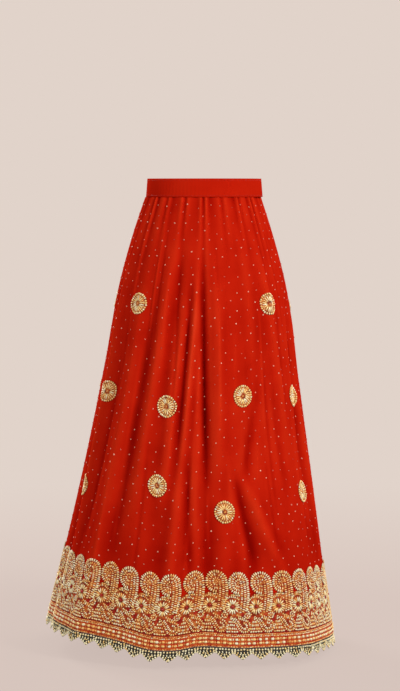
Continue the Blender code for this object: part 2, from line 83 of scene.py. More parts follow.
# Folds: start (fall, angle), end (fall, angle), half width in degrees, height in millimetres.
FOLD_COLUMNS = ("start_fall", "start_angle", "end_fall", "end_angle", "half_width", "height")
FOLDS = (
    # centre front
    (0.06, -1.5, 0.72, 4.6, 2.2, -11.0),
    (0.66, 4.4, 0.90, 6.6, 3.2, -6.0),
    (0.12, -3.2, 0.72, -11.5, 2.7, 9.0),
    (0.16, -7.5, 0.70, -12.0, 2.2, -7.0),
    (0.30, -15.5, 0.76, -17.5, 3.0, 6.0),
    (0.58, -9.5, 0.92, -10.5, 3.0, 6.0),
    (0.58, -5.5, 0.88, -1.8, 2.3, -6.0),
    (0.52, -1.8, 0.80, -2.2, 2.4, 4.5),
    (0.64, -19.0, 0.90, -17.5, 5.0, -5.0),
    # wearer's left of the front
    (0.10, 9.0, 0.74, 9.5, 3.8, 8.0),
    (0.28, 17.0, 0.72, 15.5, 9.0, 7.0),
    (0.66, 13.0, 0.92, 14.0, 4.0, 5.0),
    (0.02, 30.0, 0.42, 31.0, 5.0, 7.0),
    (0.42, 34.0, 0.68, 20.5, 3.2, -6.5),
    (0.60, 17.5, 0.86, 29.0, 2.8, -9.0),
    (0.60, 21.5, 0.88, 40.0, 3.4, 8.5),
    (0.40, 46.0, 0.70, 46.5, 3.2, -4.5),
    (0.76, 24.5, 0.91, 26.0, 2.6, -5.0),
    (0.78, 35.0, 0.91, 37.0, 2.6, -4.0),
    (0.04, 43.0, 0.60, 54.0, 4.5, 8.0),
    (0.14, 78.0, 0.76, 64.0, 5.0, -10.0),
    (0.30, 72.0, 0.95, 76.0, 4.0, 7.0),
    # wearer's right of the front
    (0.03, -14.0, 0.50, -24.0, 3.6, -6.0),
    (0.05, -23.0, 0.80, -33.0, 4.2, 8.0),
    (0.16, -32.0, 0.90, -42.0, 3.6, -7.5),
    (0.04, -42.0, 1.30, -53.0, 4.8, 9.0),
    (0.20, -54.0, 0.94, -64.0, 3.8, -8.0),
    (0.05, -63.0, 0.84, -73.0, 4.4, 8.0),
    (0.30, -72.0, 1.30, -80.0, 4.2, -7.0),
    # back
    (0.04, 106.0, 0.86, 104.0, 4.4, 8.5),
    (0.18, 117.0, 1.30, 114.0, 4.0, -8.0),
    (0.05, 127.0, 0.80, 126.0, 4.6, 9.0),
    (0.24, 138.0, 0.94, 136.0, 3.6, -7.0),
    (0.03, 147.0, 1.30, 149.0, 4.8, 9.5),
    (0.20, 158.0, 0.78, 160.0, 3.6, -8.0),
    (0.06, 169.0, 0.90, 171.0, 4.2, 8.0),
    (0.14, 180.0, 0.97, 183.0, 3.8, -9.0),
    (0.05, 191.0, 0.82, 195.0, 4.6, 8.5),
    (0.26, 203.0, 1.30, 207.0, 3.8, -7.5),
    (0.04, 213.0, 0.88, 218.0, 4.6, 9.0),
    (0.22, 224.0, 0.92, 229.0, 3.8, -7.0),
    (0.05, 235.0, 1.30, 240.0, 4.6, 8.0),
    (0.28, 246.0, 0.86, 251.0, 3.8, -7.5),
    (0.08, 256.0, 0.80, 258.0, 4.0, 6.5),
    # slow billows that carry the hem in and out
    (0.62, -12.0, 1.60, -12.0, 9.0, 7.0),
    (0.62, 4.0, 1.60, 4.0, 6.0, -5.0),
    (0.45, 42.0, 1.60, 44.0, 17.0, 24.0),
    (0.70, -36.0, 1.60, -36.0, 8.0, -5.0),
    (0.60, 158.0, 1.60, 160.0, 12.0, 8.0),
    (0.62, 128.0, 1.60, 130.0, 9.0, -6.0),
    (0.60, 222.0, 1.60, 220.0, 12.0, 8.0),
    (0.66, 190.0, 1.60, 190.0, 9.0, -6.0),
)

# %% [markdown]
# Georgette is too light to hang in big folds alone. Shallow creases a few millimetres across run
# down between them. They are drawn from a seeded spread, one every few degrees, each with its own
# length, lean and depth, so that none repeats and the front, sides and back are alike.

# %% Shallow creases between the folds
CREASES = 96
CREASE_SEED = 12
# Least and most of each random draw: degrees for shift, lean and width, and falls for the rest.
CREASE_RANGES = {
    "shift": (-2.0, 2.0),
    "start": (0.0, 0.62),
    "length": (0.22, 0.50),
    "lean": (-4.0, 4.0),
    "width": (0.8, 1.7),
}
CREASE_HEIGHTS = (0.6, 1.9)
LOWEST_CREASE_END = 0.97


def shallow_creases(count, seed):
    """Rows for the fold table: even steps round the skirt plus a random shift, lean and depth."""
    draw = np.random.default_rng(seed)
    ranges = CREASE_RANGES.values()
    shift, start, length, lean, width = (draw.uniform(*limits, count) for limits in ranges)
    height = draw.choice([-1.0, 1.0], count) * draw.uniform(*CREASE_HEIGHTS, count)
    angle = np.linspace(-180.0, 180.0, count, endpoint=False) + shift
    end = np.minimum(start + length, LOWEST_CREASE_END)
    return np.stack([start, angle, end, angle + lean, width, height], axis=1)


# Four sharp creases of the front, listed along its folds, in the columns of the fold table.
CREASE_LINES = (
    (0.24, 0.2, 0.76, 5.0, 0.85, -1.4),
    (0.61, 18.0, 0.84, 28.0, 1.0, -1.5),
    (0.58, -5.6, 0.86, -2.0, 0.9, -1.0),
    (0.18, -7.7, 0.66, -11.6, 0.9, -0.9),
)
ALL_FOLDS = np.vstack([FOLDS, shallow_creases(CREASES, CREASE_SEED), CREASE_LINES])
print("folds and creases:", len(ALL_FOLDS))

# %% Points of the form
FOLD_FADE = 0.35


def smooth_through(places, values, at):
    """A smooth curve through the table's points: cubic Hermite with the mean slope at each."""
    places = np.asarray(places, float)
    values = np.asarray(values, float)
    slopes = np.gradient(values, places)
    i = np.clip(np.searchsorted(places, at) - 1, 0, len(places) - 2)
    step = places[i + 1] - places[i]
    s = (at - places[i]) / step
    return (
        (2 * s**3 - 3 * s**2 + 1) * values[i]
        + (s**3 - 2 * s**2 + s) * step * slopes[i]
        + (3 * s**2 - 2 * s**3) * values[i + 1]
        + (s**3 - s**2) * step * slopes[i + 1]
    )


def ease(share):
    """0 below 0, 1 above 1, and a smooth step between them."""
    share = np.clip(share, 0, 1)
    return share * share * (3 - 2 * share)


def wrapped(angle):
    """The angle in -180 to 180 degrees."""
    return (angle + 180.0) % 360.0 - 180.0


def fold_height(angle, fall, folds):
    """How far the folds push the cloth out, in metres: a bell across each, faded at its ends."""
    out = np.zeros(np.broadcast(angle, fall).shape)
    for row in folds:
        fold = dict(zip(FOLD_COLUMNS, row))
        length = fold["end_fall"] - fold["start_fall"]
        along = (fall - fold["start_fall"]) / length
        middle = fold["start_angle"] + (fold["end_angle"] - fold["start_angle"]) * along
        across = wrapped(angle - middle) / fold["half_width"]
        fade = ease(along / FOLD_FADE) * ease((1 - along) / FOLD_FADE)
        out += MM * fold["height"] * fade * np.exp(-across * across)
    return out


def unit(vectors):
    """The vectors made one metre long."""
    return vectors / np.linalg.norm(vectors, axis=-1, keepdims=True)


def plain_point(angle, fall, out):
    """The A-line form: an ellipse at each level, with the point pushed out level from it."""
    turn = np.radians(angle)
    levels = SECTIONS["fall"], np.clip(fall, 0, 1)
    wide, front, back, sway = (
        smooth_through(levels[0], SECTIONS[size], levels[1])
        for size in ("half_width", "front_depth", "back_depth", "sway")
    )
    deep = np.where(np.cos(turn) > 0, front, back)
    lift = MM * smooth_through(HEM_LIFT["angle"], HEM_LIFT["lift"], wrapped(angle))
    away = unit(np.stack([np.sin(turn) / wide, -np.cos(turn) / deep], -1))
    x = sway + wide * np.sin(turn) + out * away[..., 0]
    y = -deep * np.cos(turn) + out * away[..., 1]
    z = WAIST_SEAM + fall * (HEM_LEVEL + lift - WAIST_SEAM)
    return np.stack([x, y, z], -1)


# %% [markdown]
# The border's repeats are even along the hem, so places round the skirt are counted in columns,
# four to a repeat. A table of the hem's length turns a column into an angle and back.

# %% Columns round the skirt
HEM_STEPS = 3600


def length_along(points):
    """The length of a line of points from its start to each of them."""
    steps = np.linalg.norm(np.diff(points, axis=0), axis=1)
    return np.concatenate([[0], np.cumsum(steps)])


def places_along(line, at):
    """The places on a flat line of points, at lengths along it."""
    length = length_along(line)
    return np.stack([np.interp(at, length, line[:, i]) for i in (0, 1)], 1)


def even_steps(length, count):
    """The middles of even steps over a length."""
    return length * (np.arange(count) + 0.5) / count


def angles_round_hem():
    """The angle of each column from one back edge to the other: even steps along the hem."""
    angle = np.linspace(0.0, 360.0, HEM_STEPS + 1)
    at_hem = np.ones_like(angle)
    length = length_along(plain_point(angle, at_hem, fold_height(angle, at_hem, FOLDS)))
    turn = np.interp(np.arange(COLUMNS + 1) / COLUMNS * length[-1], length, angle)
    return np.concatenate([turn[RIGHT_SEAM - 1:-1] - 360.0, turn[:RIGHT_SEAM]]), length[-1]


COLUMN_ANGLES, HEM_LENGTH = angles_round_hem()
COLUMN_NUMBERS = np.arange(RIGHT_SEAM, RIGHT_SEAM + COLUMNS + 1)
print("hem length in metres:", round(HEM_LENGTH, 3))


def angle_of(column):
    """The angle of a column, also past either end of the count."""
    first = COLUMN_NUMBERS[0]
    turns = np.floor((column - first) / COLUMNS)
    return np.interp(column - turns * COLUMNS, COLUMN_NUMBERS, COLUMN_ANGLES) + 360.0 * turns


def column_of(angle):
    """The place of an angle in the count of columns."""
    first = COLUMN_ANGLES[0]
    return np.interp((angle - first) % 360.0 + first, COLUMN_ANGLES, COLUMN_NUMBERS)


# The gathers: size and beat of the sines that shift them, and how far their depth varies.
GATHER_SHIFTS = ((1.3, 0.83), (0.9, 0.31))
GATHER_MEAN, GATHER_SPREAD, GATHER_BEAT = 0.72, 0.28, 0.57


def gather_waves(column, fall):
    """The gathers under the band, 1 to -1: uneven waves that fade down the cloth."""
    wave = 2 * np.pi * column / COLUMNS_PER_REPEAT
    for size, beat in GATHER_SHIFTS:
        wave = wave + size * np.sin(beat * column)
    depth = GATHER_MEAN + GATHER_SPREAD * np.sin(GATHER_BEAT * column + 1.0)
    return depth * np.cos(wave) * np.clip(1 - fall / GATHER_FALL, 0, 1) ** 2


def skirt_point(angle, fall):
    """The outer face of the cloth: the form with its folds, and its gathers at the waist."""
    gathers = -GATHER_DEPTH * gather_waves(column_of(angle), fall)
    return plain_point(angle, fall, fold_height(angle, fall, ALL_FOLDS) + gathers)


# %% [markdown]
# Everything sewn on the skirt needs more than a point: it needs to know which way is along the
# hem, which way is up the cloth and which way is out. One function gives all four, and beads,
# stitches, patches and lace are all placed through it.

# %% Places on the cloth
STEP_ROUND = 0.2
STEP_DOWN = 0.003
LOWEST_STEADY_FALL = 0.995


def on_cloth(column, height):
    """Points on the cloth at a column and a height above the hem, with three directions.

    A point below the hem goes straight on in line with the cloth. The directions are differences
    over a small step: along the hem, up the cloth, and their cross product, outwards.
    """
    column, height = np.broadcast_arrays(np.asarray(column, float), np.asarray(height, float))
    angle = angle_of(column)
    fall = 1 - np.maximum(height, 0) / CLOTH_SLANT
    steady = np.clip(fall, 0.0, LOWEST_STEADY_FALL)
    point = skirt_point(angle, fall)
    along = unit(skirt_point(angle + STEP_ROUND, steady) - skirt_point(angle - STEP_ROUND, steady))
    up = unit(skirt_point(angle, steady - STEP_DOWN) - skirt_point(angle, steady + STEP_DOWN))
    out = unit(np.cross(along, up))
    return point + up * np.minimum(height, 0)[..., None], along, up, out


def raised(column, height, lift):
    """The points of the cloth, moved out by a lift in metres."""
    point, _, _, out = on_cloth(column, height)
    return point + out * np.asarray(lift)[..., None]


# %% [markdown]
# ## Meshes
#
# One helper makes every piece from whole arrays of points and faces. It hands them to the mesh
# with foreach_set, which is far quicker than adding faces one at a time. Another lays a sheet
# through a grid of points. A third gives a piece its finish and hides the solids it stands for.


def add_object(name, data):
    """A new object, linked to the scene."""
    made = bpy.data.objects.new(name, data)
    bpy.context.scene.collection.objects.link(made)
    return made


def make_piece(name, points, faces, uv=None, tone=None):
    """A mesh object from its points and arrays of faces, each array with its own side count."""
    mesh = bpy.data.meshes.new(name)
    sides = np.concatenate([np.full(len(group), group.shape[1]) for group in faces])
    corners = np.concatenate([group.ravel() for group in faces])
    mesh.vertices.add(len(points))
    mesh.vertices.foreach_set("co", np.ascontiguousarray(points, np.float32).ravel())
    mesh.loops.add(len(corners))
    mesh.loops.foreach_set("vertex_index", corners.astype(np.int32))
    mesh.polygons.add(len(sides))
    mesh.polygons.foreach_set("loop_start", np.concatenate([[0], np.cumsum(sides)[:-1]]))
    mesh.update(calc_edges=True)
    if uv is not None:
        layer = mesh.uv_layers.new(name="cloth")
        layer.data.foreach_set("uv", uv[corners].astype(np.float32).ravel())
    if tone is not None:
        mesh.attributes.new("tone", "FLOAT", "POINT").data.foreach_set(
            "value", tone.astype(np.float32)
        )
    mesh.shade_smooth()
    piece = add_object(name, mesh)
    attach(piece, "root")
    triangles = int((sides - 2).sum())
    print(f"{name}: {len(points)} points, {triangles} triangles")
    return piece


def grid_quads(rows, columns):
    """The quads of a grid whose rows run down and whose columns run right, seen from outside."""
    index = np.arange(rows * columns).reshape(rows, columns)
    ring = (index[:-1, :-1], index[1:, :-1], index[1:, 1:], index[:-1, 1:])
    return np.stack(ring, -1).reshape(-1, 4)


def make_sheet(name, points, uv, wall, tone=None):
    """A sheet through a grid of points, with a wall put inside it by a Solidify modifier."""
    tone = np.full(points.shape[:2], 0.5) if tone is None else tone
    faces = [grid_quads(*points.shape[:2])]
    piece = make_piece(name, points.reshape(-1, 3), faces, uv.reshape(-1, 2), tone.ravel())
    thicken = piece.modifiers.new("wall", "SOLIDIFY")
    thicken.thickness = wall
    thicken.offset = -1.0
    return piece


def dress(piece, material, slot, *nodes):
    """Gives a piece its finish and hides the solids that it stands for. The slot is not used."""
    piece.data.materials.append(material)
    if nodes:
        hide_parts(*nodes)
    return piece


# %% [markdown]
# ## Shared effects
#
# Thread, crêpe and metal look alive because they are never one colour. Two effects are used by
# several finishes, so each is a node group with its own inputs: a weave of fine threads with the
# grain of crêpe, and a slow change of tone over the cloth.

# %% Node helpers


def node(tree, kind, inputs=None, **settings):
    """A new node. An input is linked where its value is a socket, and set where it's a number."""
    made = tree.nodes.new(kind)
    for setting, value in settings.items():
        setattr(made, setting, value)
    for name, value in (inputs or {}).items():
        if isinstance(value, bpy.types.NodeSocket):
            tree.links.new(value, made.inputs[name])
        else:
            made.inputs[name].default_value = value
    return made


def maths(tree, operation, *values):
    """The result of one Math node."""
    return node(tree, "ShaderNodeMath", dict(enumerate(values)), operation=operation).outputs[0]


def new_group(name, inputs, outputs):
    """A shader node group with named sockets: (name, kind, start value) in, (name, kind) out."""
    tree = bpy.data.node_groups.new(name, "ShaderNodeTree")
    for socket, kind, start in inputs:
        made = tree.interface.new_socket(socket, in_out="INPUT", socket_type=kind)
        if start is not None:
            made.default_value = start
    for socket, kind in outputs:
        tree.interface.new_socket(socket, in_out="OUTPUT", socket_type=kind)
    return tree, tree.nodes.new("NodeGroupInput"), tree.nodes.new("NodeGroupOutput")


FLOAT, VECTOR = "NodeSocketFloat", "NodeSocketVector"

# %% The weave group: crossing threads and crêpe grain
weave, weave_in, weave_out = new_group(
    "woven threads",
    [("Vector", VECTOR, None), ("Threads per metre", FLOAT, 1400.0), ("Grain", FLOAT, 0.5)],
    [("Height", FLOAT), ("Tone", FLOAT)],
)
place, pitch = weave_in.outputs["Vector"], weave_in.outputs["Threads per metre"]
axes = node(weave, "ShaderNodeSeparateXYZ", {"Vector": place})
turns = maths(weave, "MULTIPLY", pitch, 2 * math.pi)
warp, weft = (
    maths(weave, "SINE", maths(weave, "MULTIPLY", axes.outputs[axis], turns)) for axis in "XY"
)
grain = node(
    weave,
    "ShaderNodeTexNoise",
    {"Vector": place, "Scale": maths(weave, "MULTIPLY", pitch, 0.45), "Detail": 2.0},
)
threads = maths(weave, "MULTIPLY_ADD", maths(weave, "MULTIPLY", warp, weft), 0.25, 0.5)
mixed = node(
    weave,
    "ShaderNodeMix",
    {"Factor": weave_in.outputs["Grain"], "A": threads, "B": grain.outputs[0]},
    data_type="FLOAT",
)
weave.links.new(mixed.outputs[0], weave_out.inputs["Height"])
weave.links.new(maths(weave, "MULTIPLY_ADD", mixed.outputs[0], 0.5, 0.25), weave_out.inputs["Tone"])

# %% The tone group: slow patches, a little lighter and darker
patches, patches_in, patches_out = new_group(
    "slow patches",
    [("Vector", VECTOR, None), ("Patches per metre", FLOAT, 9.0), ("Contrast", FLOAT, 1.0)],
    [("Tone", FLOAT)],
)
place, pitch = patches_in.outputs["Vector"], patches_in.outputs["Patches per metre"]
broad = node(
    patches,
    "ShaderNodeTexNoise",
    {"Vector": place, "Scale": pitch, "Detail": 3.0, "Roughness": 0.55},
)
away = maths(patches, "SUBTRACT", broad.outputs[0], 0.5)
spread = maths(patches, "MULTIPLY_ADD", away, patches_in.outputs["Contrast"], 0.5)
patches.links.new(spread, patches_out.inputs["Tone"])

# %% Material helpers


def srgb(red, green, blue):
    """A colour given as 0-255 screen values, as the linear RGBA that shaders use."""
    share = np.array([red, green, blue]) / 255.0
    linear = np.where(share <= 0.04045, share / 12.92, ((share + 0.055) / 1.055) ** 2.4)
    return (*linear.tolist(), 1.0)


def new_material(name, **constants):
    """A material with one Principled shader, and its constants set on the shader's own sockets."""
    material = bpy.data.materials.new(name)
    material.use_nodes = True
    tree = material.node_tree
    shader = tree.nodes["Principled BSDF"]
    for socket, value in constants.items():
        shader.inputs[socket.replace("_", " ")].default_value = value
    return material, tree, shader


def ramp(tree, factor, *stops):
    """A colour ramp through (place, colour) stops, with colours as 0-255 screen values."""
    made = node(tree, "ShaderNodeValToRGB", {"Fac": factor})
    marks = made.color_ramp.elements
    while len(marks) < len(stops):
        marks.new(0.5)
    for mark, (place, colour) in zip(marks, stops):
        mark.position = place
        mark.color = srgb(*colour)
    return made.outputs["Color"]


def paint(tree, shader, tone, stops):
    """Gives the shader its colour, by a ramp over a tone."""
    tree.links.new(ramp(tree, tone, *stops), shader.inputs["Base Color"])


def swing(tree, tone, share):
    """How far a tone is from a half, scaled by a share."""
    return maths(tree, "MULTIPLY_ADD", tone, share, -share / 2)


def use(tree, group, **inputs):
    """A group placed in a material. An underscore in an input's name stands for a space."""
    inputs = {name.replace("_", " "): value for name, value in inputs.items()}
    return node(tree, "ShaderNodeGroup", inputs, node_tree=group)


def bump(tree, shader, height, distance):
    """A Bump node on the shader's normal. The distance is in metres."""
    made = node(tree, "ShaderNodeBump", {"Height": height, "Distance": distance})
    tree.links.new(made.outputs["Normal"], shader.inputs["Normal"])


def flat_cut(tree):
    """The sheet's own UV: the place in its flat cut, in metres."""
    return node(tree, "ShaderNodeUVMap", uv_map="cloth").outputs["UV"]


def painted_tone(tree):
    """The tone that the mesh carries as an attribute."""
    return node(tree, "ShaderNodeAttribute", attribute_name="tone").outputs["Fac"]


def object_place(tree):
    """Object coordinates, in metres."""
    return node(tree, "ShaderNodeTexCoord").outputs["Object"]


def speckled_material(name, stops, specks, contrast, relief, painted=True, **constants):
    """A ramp of colours over fine specks, which also raise the surface by a relief in metres.

    Where painted, the specks only vary the tone that the mesh carries. The specks come back too.
    """
    material, tree, shader = new_material(name, **constants)
    speck = use(
        tree, patches, Vector=object_place(tree), Patches_per_metre=specks, Contrast=contrast
    ).outputs["Tone"]
    tone = speck
    if painted:
        tone = maths(tree, "ADD", painted_tone(tree), swing(tree, speck, 0.3))
    paint(tree, shader, tone, stops)
    bump(tree, shader, speck, relief)
    return material, tree, shader, speck


# %% [markdown]
# ## The red georgette
#
# Georgette is a crêpe: its threads are twisted hard, so the cloth has a fine grain, a soft sheen
# and no hard highlights. The light and shade of its folds are painted: each sheet carries a tone,
# below a half for painted shade in troughs, gathers and low down, and above it for painted light
# on ridges. The sheen is set on the shader, and the weave follows the sheet's own UV in metres.

# %% Georgette material
georgette, tree, shader = new_material(
    "red_georgette",
    Roughness=0.75,
    Specular_IOR_Level=0.0,
    Sheen_Weight=0.04,
    Sheen_Roughness=0.4,
    Sheen_Tint=srgb(255, 84, 48),
)
uv = flat_cut(tree)
woven = use(tree, weave, Vector=uv, Threads_per_metre=1500.0, Grain=0.6)
slow = use(tree, patches, Vector=uv, Patches_per_metre=11.0, Contrast=0.8)
tone = swing(tree, woven.outputs["Tone"], 0.2)
tone = maths(tree, "ADD", tone, swing(tree, slow.outputs["Tone"], 0.4))
tone = maths(tree, "ADD", tone, painted_tone(tree))
# Dark reds are painted shade for troughs and low cloth; light reds are painted highlight for
# ridges.
GEORGETTE_REDS = (
    (0.00, (114, 3, 0)),
    (0.30, (169, 15, 3)),
    (0.50, (200, 31, 10)),
    (0.72, (218, 47, 18)),
    (1.00, (234, 68, 35)),
)
paint(tree, shader, tone, GEORGETTE_REDS)
bump(tree, shader, woven.outputs["Height"], 0.00012)

# %% [markdown]
# ## The cloth
#
# Each half of the skirt is one sheet here, cut on the A-line in six gores whose seams don't show.
# The grid has five cells for each column round the skirt, fine enough for the shallow creases, and
# its UV is the flat cut: the half is narrower at the waist, so the weave isn't stretched there.

# %% The flat cut of the two halves
CELLS_PER_COLUMN = 5
CLOTH_ROWS = 120
CLOTH_WALL = 0.0012
FLAT_TOP = 0.46
FLAT_HEM = 0.97
HALVES = {
    "front": (RIGHT_SEAM, LEFT_SEAM),
    "back": (LEFT_SEAM, RIGHT_SEAM + COLUMNS),
}
HALF_COLUMNS = COLUMNS / 2
GORES = 6


def flat_width(height):
    """The flat width of a half at a height above the hem: straight sides from hem to waist."""
    return FLAT_HEM + (FLAT_TOP - FLAT_HEM) * np.clip(height / CLOTH_SLANT, 0, 1)


def flat_place(column, height):
    """Where a place on the cloth lies in the flat cut, in metres across and up."""
    middle = LEFT_SEAM + np.where(column < LEFT_SEAM, -0.5, 0.5) * HALF_COLUMNS
    across = (column - middle) / HALF_COLUMNS * flat_width(height)
    return np.stack(np.broadcast_arrays(across, height), -1)


def half_grid(side, columns_each, heights):
    """Columns and heights of a grid over one half, drawn in from the side seams by half a gap."""
    first, last = HALVES[side]
    gap = SEAM_GAP / 2 / (HEM_LENGTH / COLUMNS)
    columns = np.linspace(first + gap, last - gap, (last - first) * columns_each + 1)
    return np.meshgrid(heights, columns, indexing="ij")


# %% The tone of the cloth: painted shade and light of its folds
# Painted shade: troughs, gathers and the cloth low down are drawn darker, and ridges lighter.
FOLD_SHADE = 52.0
GATHER_SHADE = 0.22
LOW_SHADE, LOW_HEIGHT, LOW_FADE = 0.09, 0.34, 0.16
SIDE_STEPS = ((1.4, 0.6), (3.5, 0.4))
TONE_LIMITS = (0.02, 0.98)


def fold_shade_tone(column, height):
    """Painted shade and light: 0.5 on smooth cloth, less in troughs, gathers and low down, more on
    ridges.

    It compares the folds' height with its mean a few degrees to both sides, near and further off.
    """
    angle, fall = angle_of(column), 1 - height / CLOTH_SLANT
    here = fold_height(angle, fall, ALL_FOLDS)
    tone = 0.5 - LOW_SHADE * ease((LOW_HEIGHT - height) / LOW_FADE)
    for step, share in SIDE_STEPS:
        left, right = (fold_height(angle + way * step, fall, ALL_FOLDS) for way in (-1, 1))
        tone += FOLD_SHADE * share * (here - (left + right) / 2)
    return np.clip(tone - GATHER_SHADE * gather_waves(column, fall), *TONE_LIMITS)


# %% The two halves of the cloth
TUCK_IN, TUCK_UP = 0.0036, 0.0050
EDGE_ROW = 0.0012


def tucked_edge(column):
    """Two rows that take the gathered top in under the band, and then up behind it."""
    under = plain_point(angle_of(column), 0.0 * column, -TUCK_IN)
    return np.stack([under + [0.0, 0.0, TUCK_UP], under])


for side in HALVES:
    heights = np.linspace(CLOTH_SLANT, 0.0, CLOTH_ROWS + 1)
    heights = np.insert(heights, 1, CLOTH_SLANT - EDGE_ROW)
    height, column = half_grid(side, CELLS_PER_COLUMN, heights)
    points = np.concatenate([tucked_edge(column[0]), raised(column, height, 0.0 * height)])
    # This tone is painted shade in troughs, gathers and low down, and painted light on ridges.
    tone = fold_shade_tone(column, height)
    tone = np.concatenate([tone[:1], tone[:1], tone])
    tucked = CLOTH_SLANT + np.array([TUCK_IN + TUCK_UP, TUCK_IN])
    height, column = half_grid(side, CELLS_PER_COLUMN, np.concatenate([tucked, heights]))
    cloth = make_sheet(f"{side}_cloth", points, flat_place(column, height), CLOTH_WALL, tone)
    dress(cloth, georgette, "georgette", *[f"{side}_gore_{gore + 1}" for gore in range(GORES)])

# %% [markdown]
# ## Beads
#
# The embroidery is thousands of cut beads and short metal bars. A bead is a six-sided dome, 22
# triangles, flat underneath where it is sewn down. A table has one row for each bead: where it
# lies in millimetres, which way it is turned, its length, width and tone. One array sum then puts
# every bead of a piece on the cloth, each a little out of line, as hand work is.

# %% One bead
BEAD_SIDES = 6
SHOULDER_WIDTH, SHOULDER_RISE = 0.76, 0.66
steps = np.arange(BEAD_SIDES)
turns = 2 * np.pi * steps / BEAD_SIDES
foot = np.stack([np.cos(turns), np.sin(turns), 0 * turns], 1)
BEAD_POINTS = np.vstack([foot, foot * SHOULDER_WIDTH + [0, 0, SHOULDER_RISE], [[0.0, 0.0, 1.0]]])
after = (steps + 1) % BEAD_SIDES
BEAD_QUADS = np.vstack([
    np.stack([steps, after, BEAD_SIDES + after, BEAD_SIDES + steps], 1),
    [[0, 3, 2, 1], [0, 5, 4, 3]],
])
BEAD_TRIANGLES = np.stack(
    [BEAD_SIDES + steps, BEAD_SIDES + after, np.full(BEAD_SIDES, 2 * BEAD_SIDES)], 1
)

# %% Rows of the bead table
PATH_STEP = 0.5
PATH_SMOOTHING = 9
ARC_STEP = 15


def bead_rows(x, height, turn, length, width, tone):
    """Rows of the bead table. A value given once holds for every row."""
    return np.stack(np.broadcast_arrays(x, height, turn, length, width, tone), 1)


def one_bead(x, height, turn, length, width, tone):
    """A single bead with its middle at x and height."""
    return bead_rows([x], height, turn, length, width, tone)


def bead_line(x0, h0, x1, h1, count, turn, length, width, tone):
    """Beads spaced evenly on a straight line, all turned the same way in degrees."""
    share = even_steps(1, count)
    return bead_rows(x0 + (x1 - x0) * share, h0 + (h1 - h0) * share, turn, length, width, tone)


def bead_ring(x, h, wide, tall, count, start, sweep, length, width, tone):
    """Beads set round an oval, each pointing outwards, from a start angle over a sweep."""
    turn = np.radians(start + even_steps(sweep, count))
    x, h = x + wide * np.cos(turn), h + tall * np.sin(turn)
    return bead_rows(x, h, np.degrees(turn), length, width, tone)


def path_through(*corners):
    """A smooth path through corners: short even steps in millimetres, averaged three times."""
    corners = np.array(corners, float)
    length = length_along(corners)[-1]
    path = places_along(corners, np.linspace(0, length, int(length / PATH_STEP) + 2))
    share = np.ones(PATH_SMOOTHING) / PATH_SMOOTHING
    ends = PATH_SMOOTHING // 2
    for _ in range(3):
        padded = np.pad(path, ((ends, ends), (0, 0)), mode="reflect", reflect_type="odd")
        path = np.stack([np.convolve(padded[:, i], share, "valid") for i in (0, 1)], 1)
    return path


def arc(x, h, wide, tall, start, end):
    """Corners for path_through at even angles on an oval, from one angle to another."""
    turn = np.radians(np.linspace(start, end, int(abs(end - start) / ARC_STEP) + 1))
    return list(zip(x + wide * np.cos(turn), h + tall * np.sin(turn)))


def bead_path(path, pitch, turn, length, width, tone):
    """Beads at even steps along a path. Turn is against the path: 90 lays them across it."""
    so_far = length_along(path)
    count = int(so_far[-1] / pitch)
    at = even_steps(1, count) * so_far[-1]
    way = np.gradient(path, axis=0)
    heading = np.degrees(np.interp(at, so_far, np.unwrap(np.arctan2(way[:, 1], way[:, 0]))))
    return bead_rows(*places_along(path, at).T, heading + turn, length, width, tone)


# %% How beads are set
BEAD_SIZES = (0.9, 1.1)


def scatter(rows, draw, shift, twist, spread):
    """Moves, turns, sizes and tints each bead a little, by seeded random draws."""
    rows = rows.copy()
    rows[:, :2] += draw.normal(0.0, shift, (len(rows), 2))
    rows[:, 2] += draw.normal(0.0, twist, len(rows))
    rows[:, 3:5] *= draw.uniform(*BEAD_SIZES, (len(rows), 2))
    rows[:, 5] = np.clip(rows[:, 5] + draw.normal(0.0, spread, len(rows)), 0.0, 1.0)
    return rows


def set_beads(name, places, turn, length, width, tone, lift, rise=0.45):
    """One mesh of all the beads of a piece, set at places from on_cloth and raised by a lift.

    Sizes are in metres, turns in degrees, and rise is a bead's height over its width.
    """
    point, along, up, out = places
    point = point + out * lift
    turn = np.radians(turn)[:, None]
    forward = along * np.cos(turn) + up * np.sin(turn)
    sideways = up * np.cos(turn) - along * np.sin(turn)
    shape = BEAD_POINTS[None, :, :, None]
    corners = (
        point[:, None]
        + shape[:, :, 0] * (forward * length[:, None] / 2)[:, None]
        + shape[:, :, 1] * (sideways * width[:, None] / 2)[:, None]
        + shape[:, :, 2] * (out * (width * rise)[:, None])[:, None]
    )
    offset = np.arange(len(point))[:, None, None] * len(BEAD_POINTS)
    faces = [(BEAD_QUADS + offset).reshape(-1, 4), (BEAD_TRIANGLES + offset).reshape(-1, 3)]
    return make_piece(name, corners.reshape(-1, 3), faces, tone=np.repeat(tone, len(BEAD_POINTS)))


# %% [markdown]
# The beads are glass and metal over metal thread, from the dark red of the stones through bronze
# and gold to cream. Their tone is an attribute of the mesh, so one material serves them all. They
# are smooth and slightly metallic, with a coat on them, so each catches its own small light.

# %% Bead material
BEAD_TONES = (
    (0.00, (175, 17, 6)),
    (0.12, (135, 10, 8)),
    (0.24, (136, 55, 13)),
    (0.42, (204, 120, 48)),
    (0.62, (255, 178, 88)),
    (0.82, (255, 217, 136)),
    (1.00, (255, 246, 204)),
)
beads_material, *_ = speckled_material(
    "beads", BEAD_TONES, specks=260.0, contrast=0.5, relief=0.0002,
    Roughness=0.34, Metallic=0.15, Coat_Weight=0.2, Coat_Roughness=0.2,
)

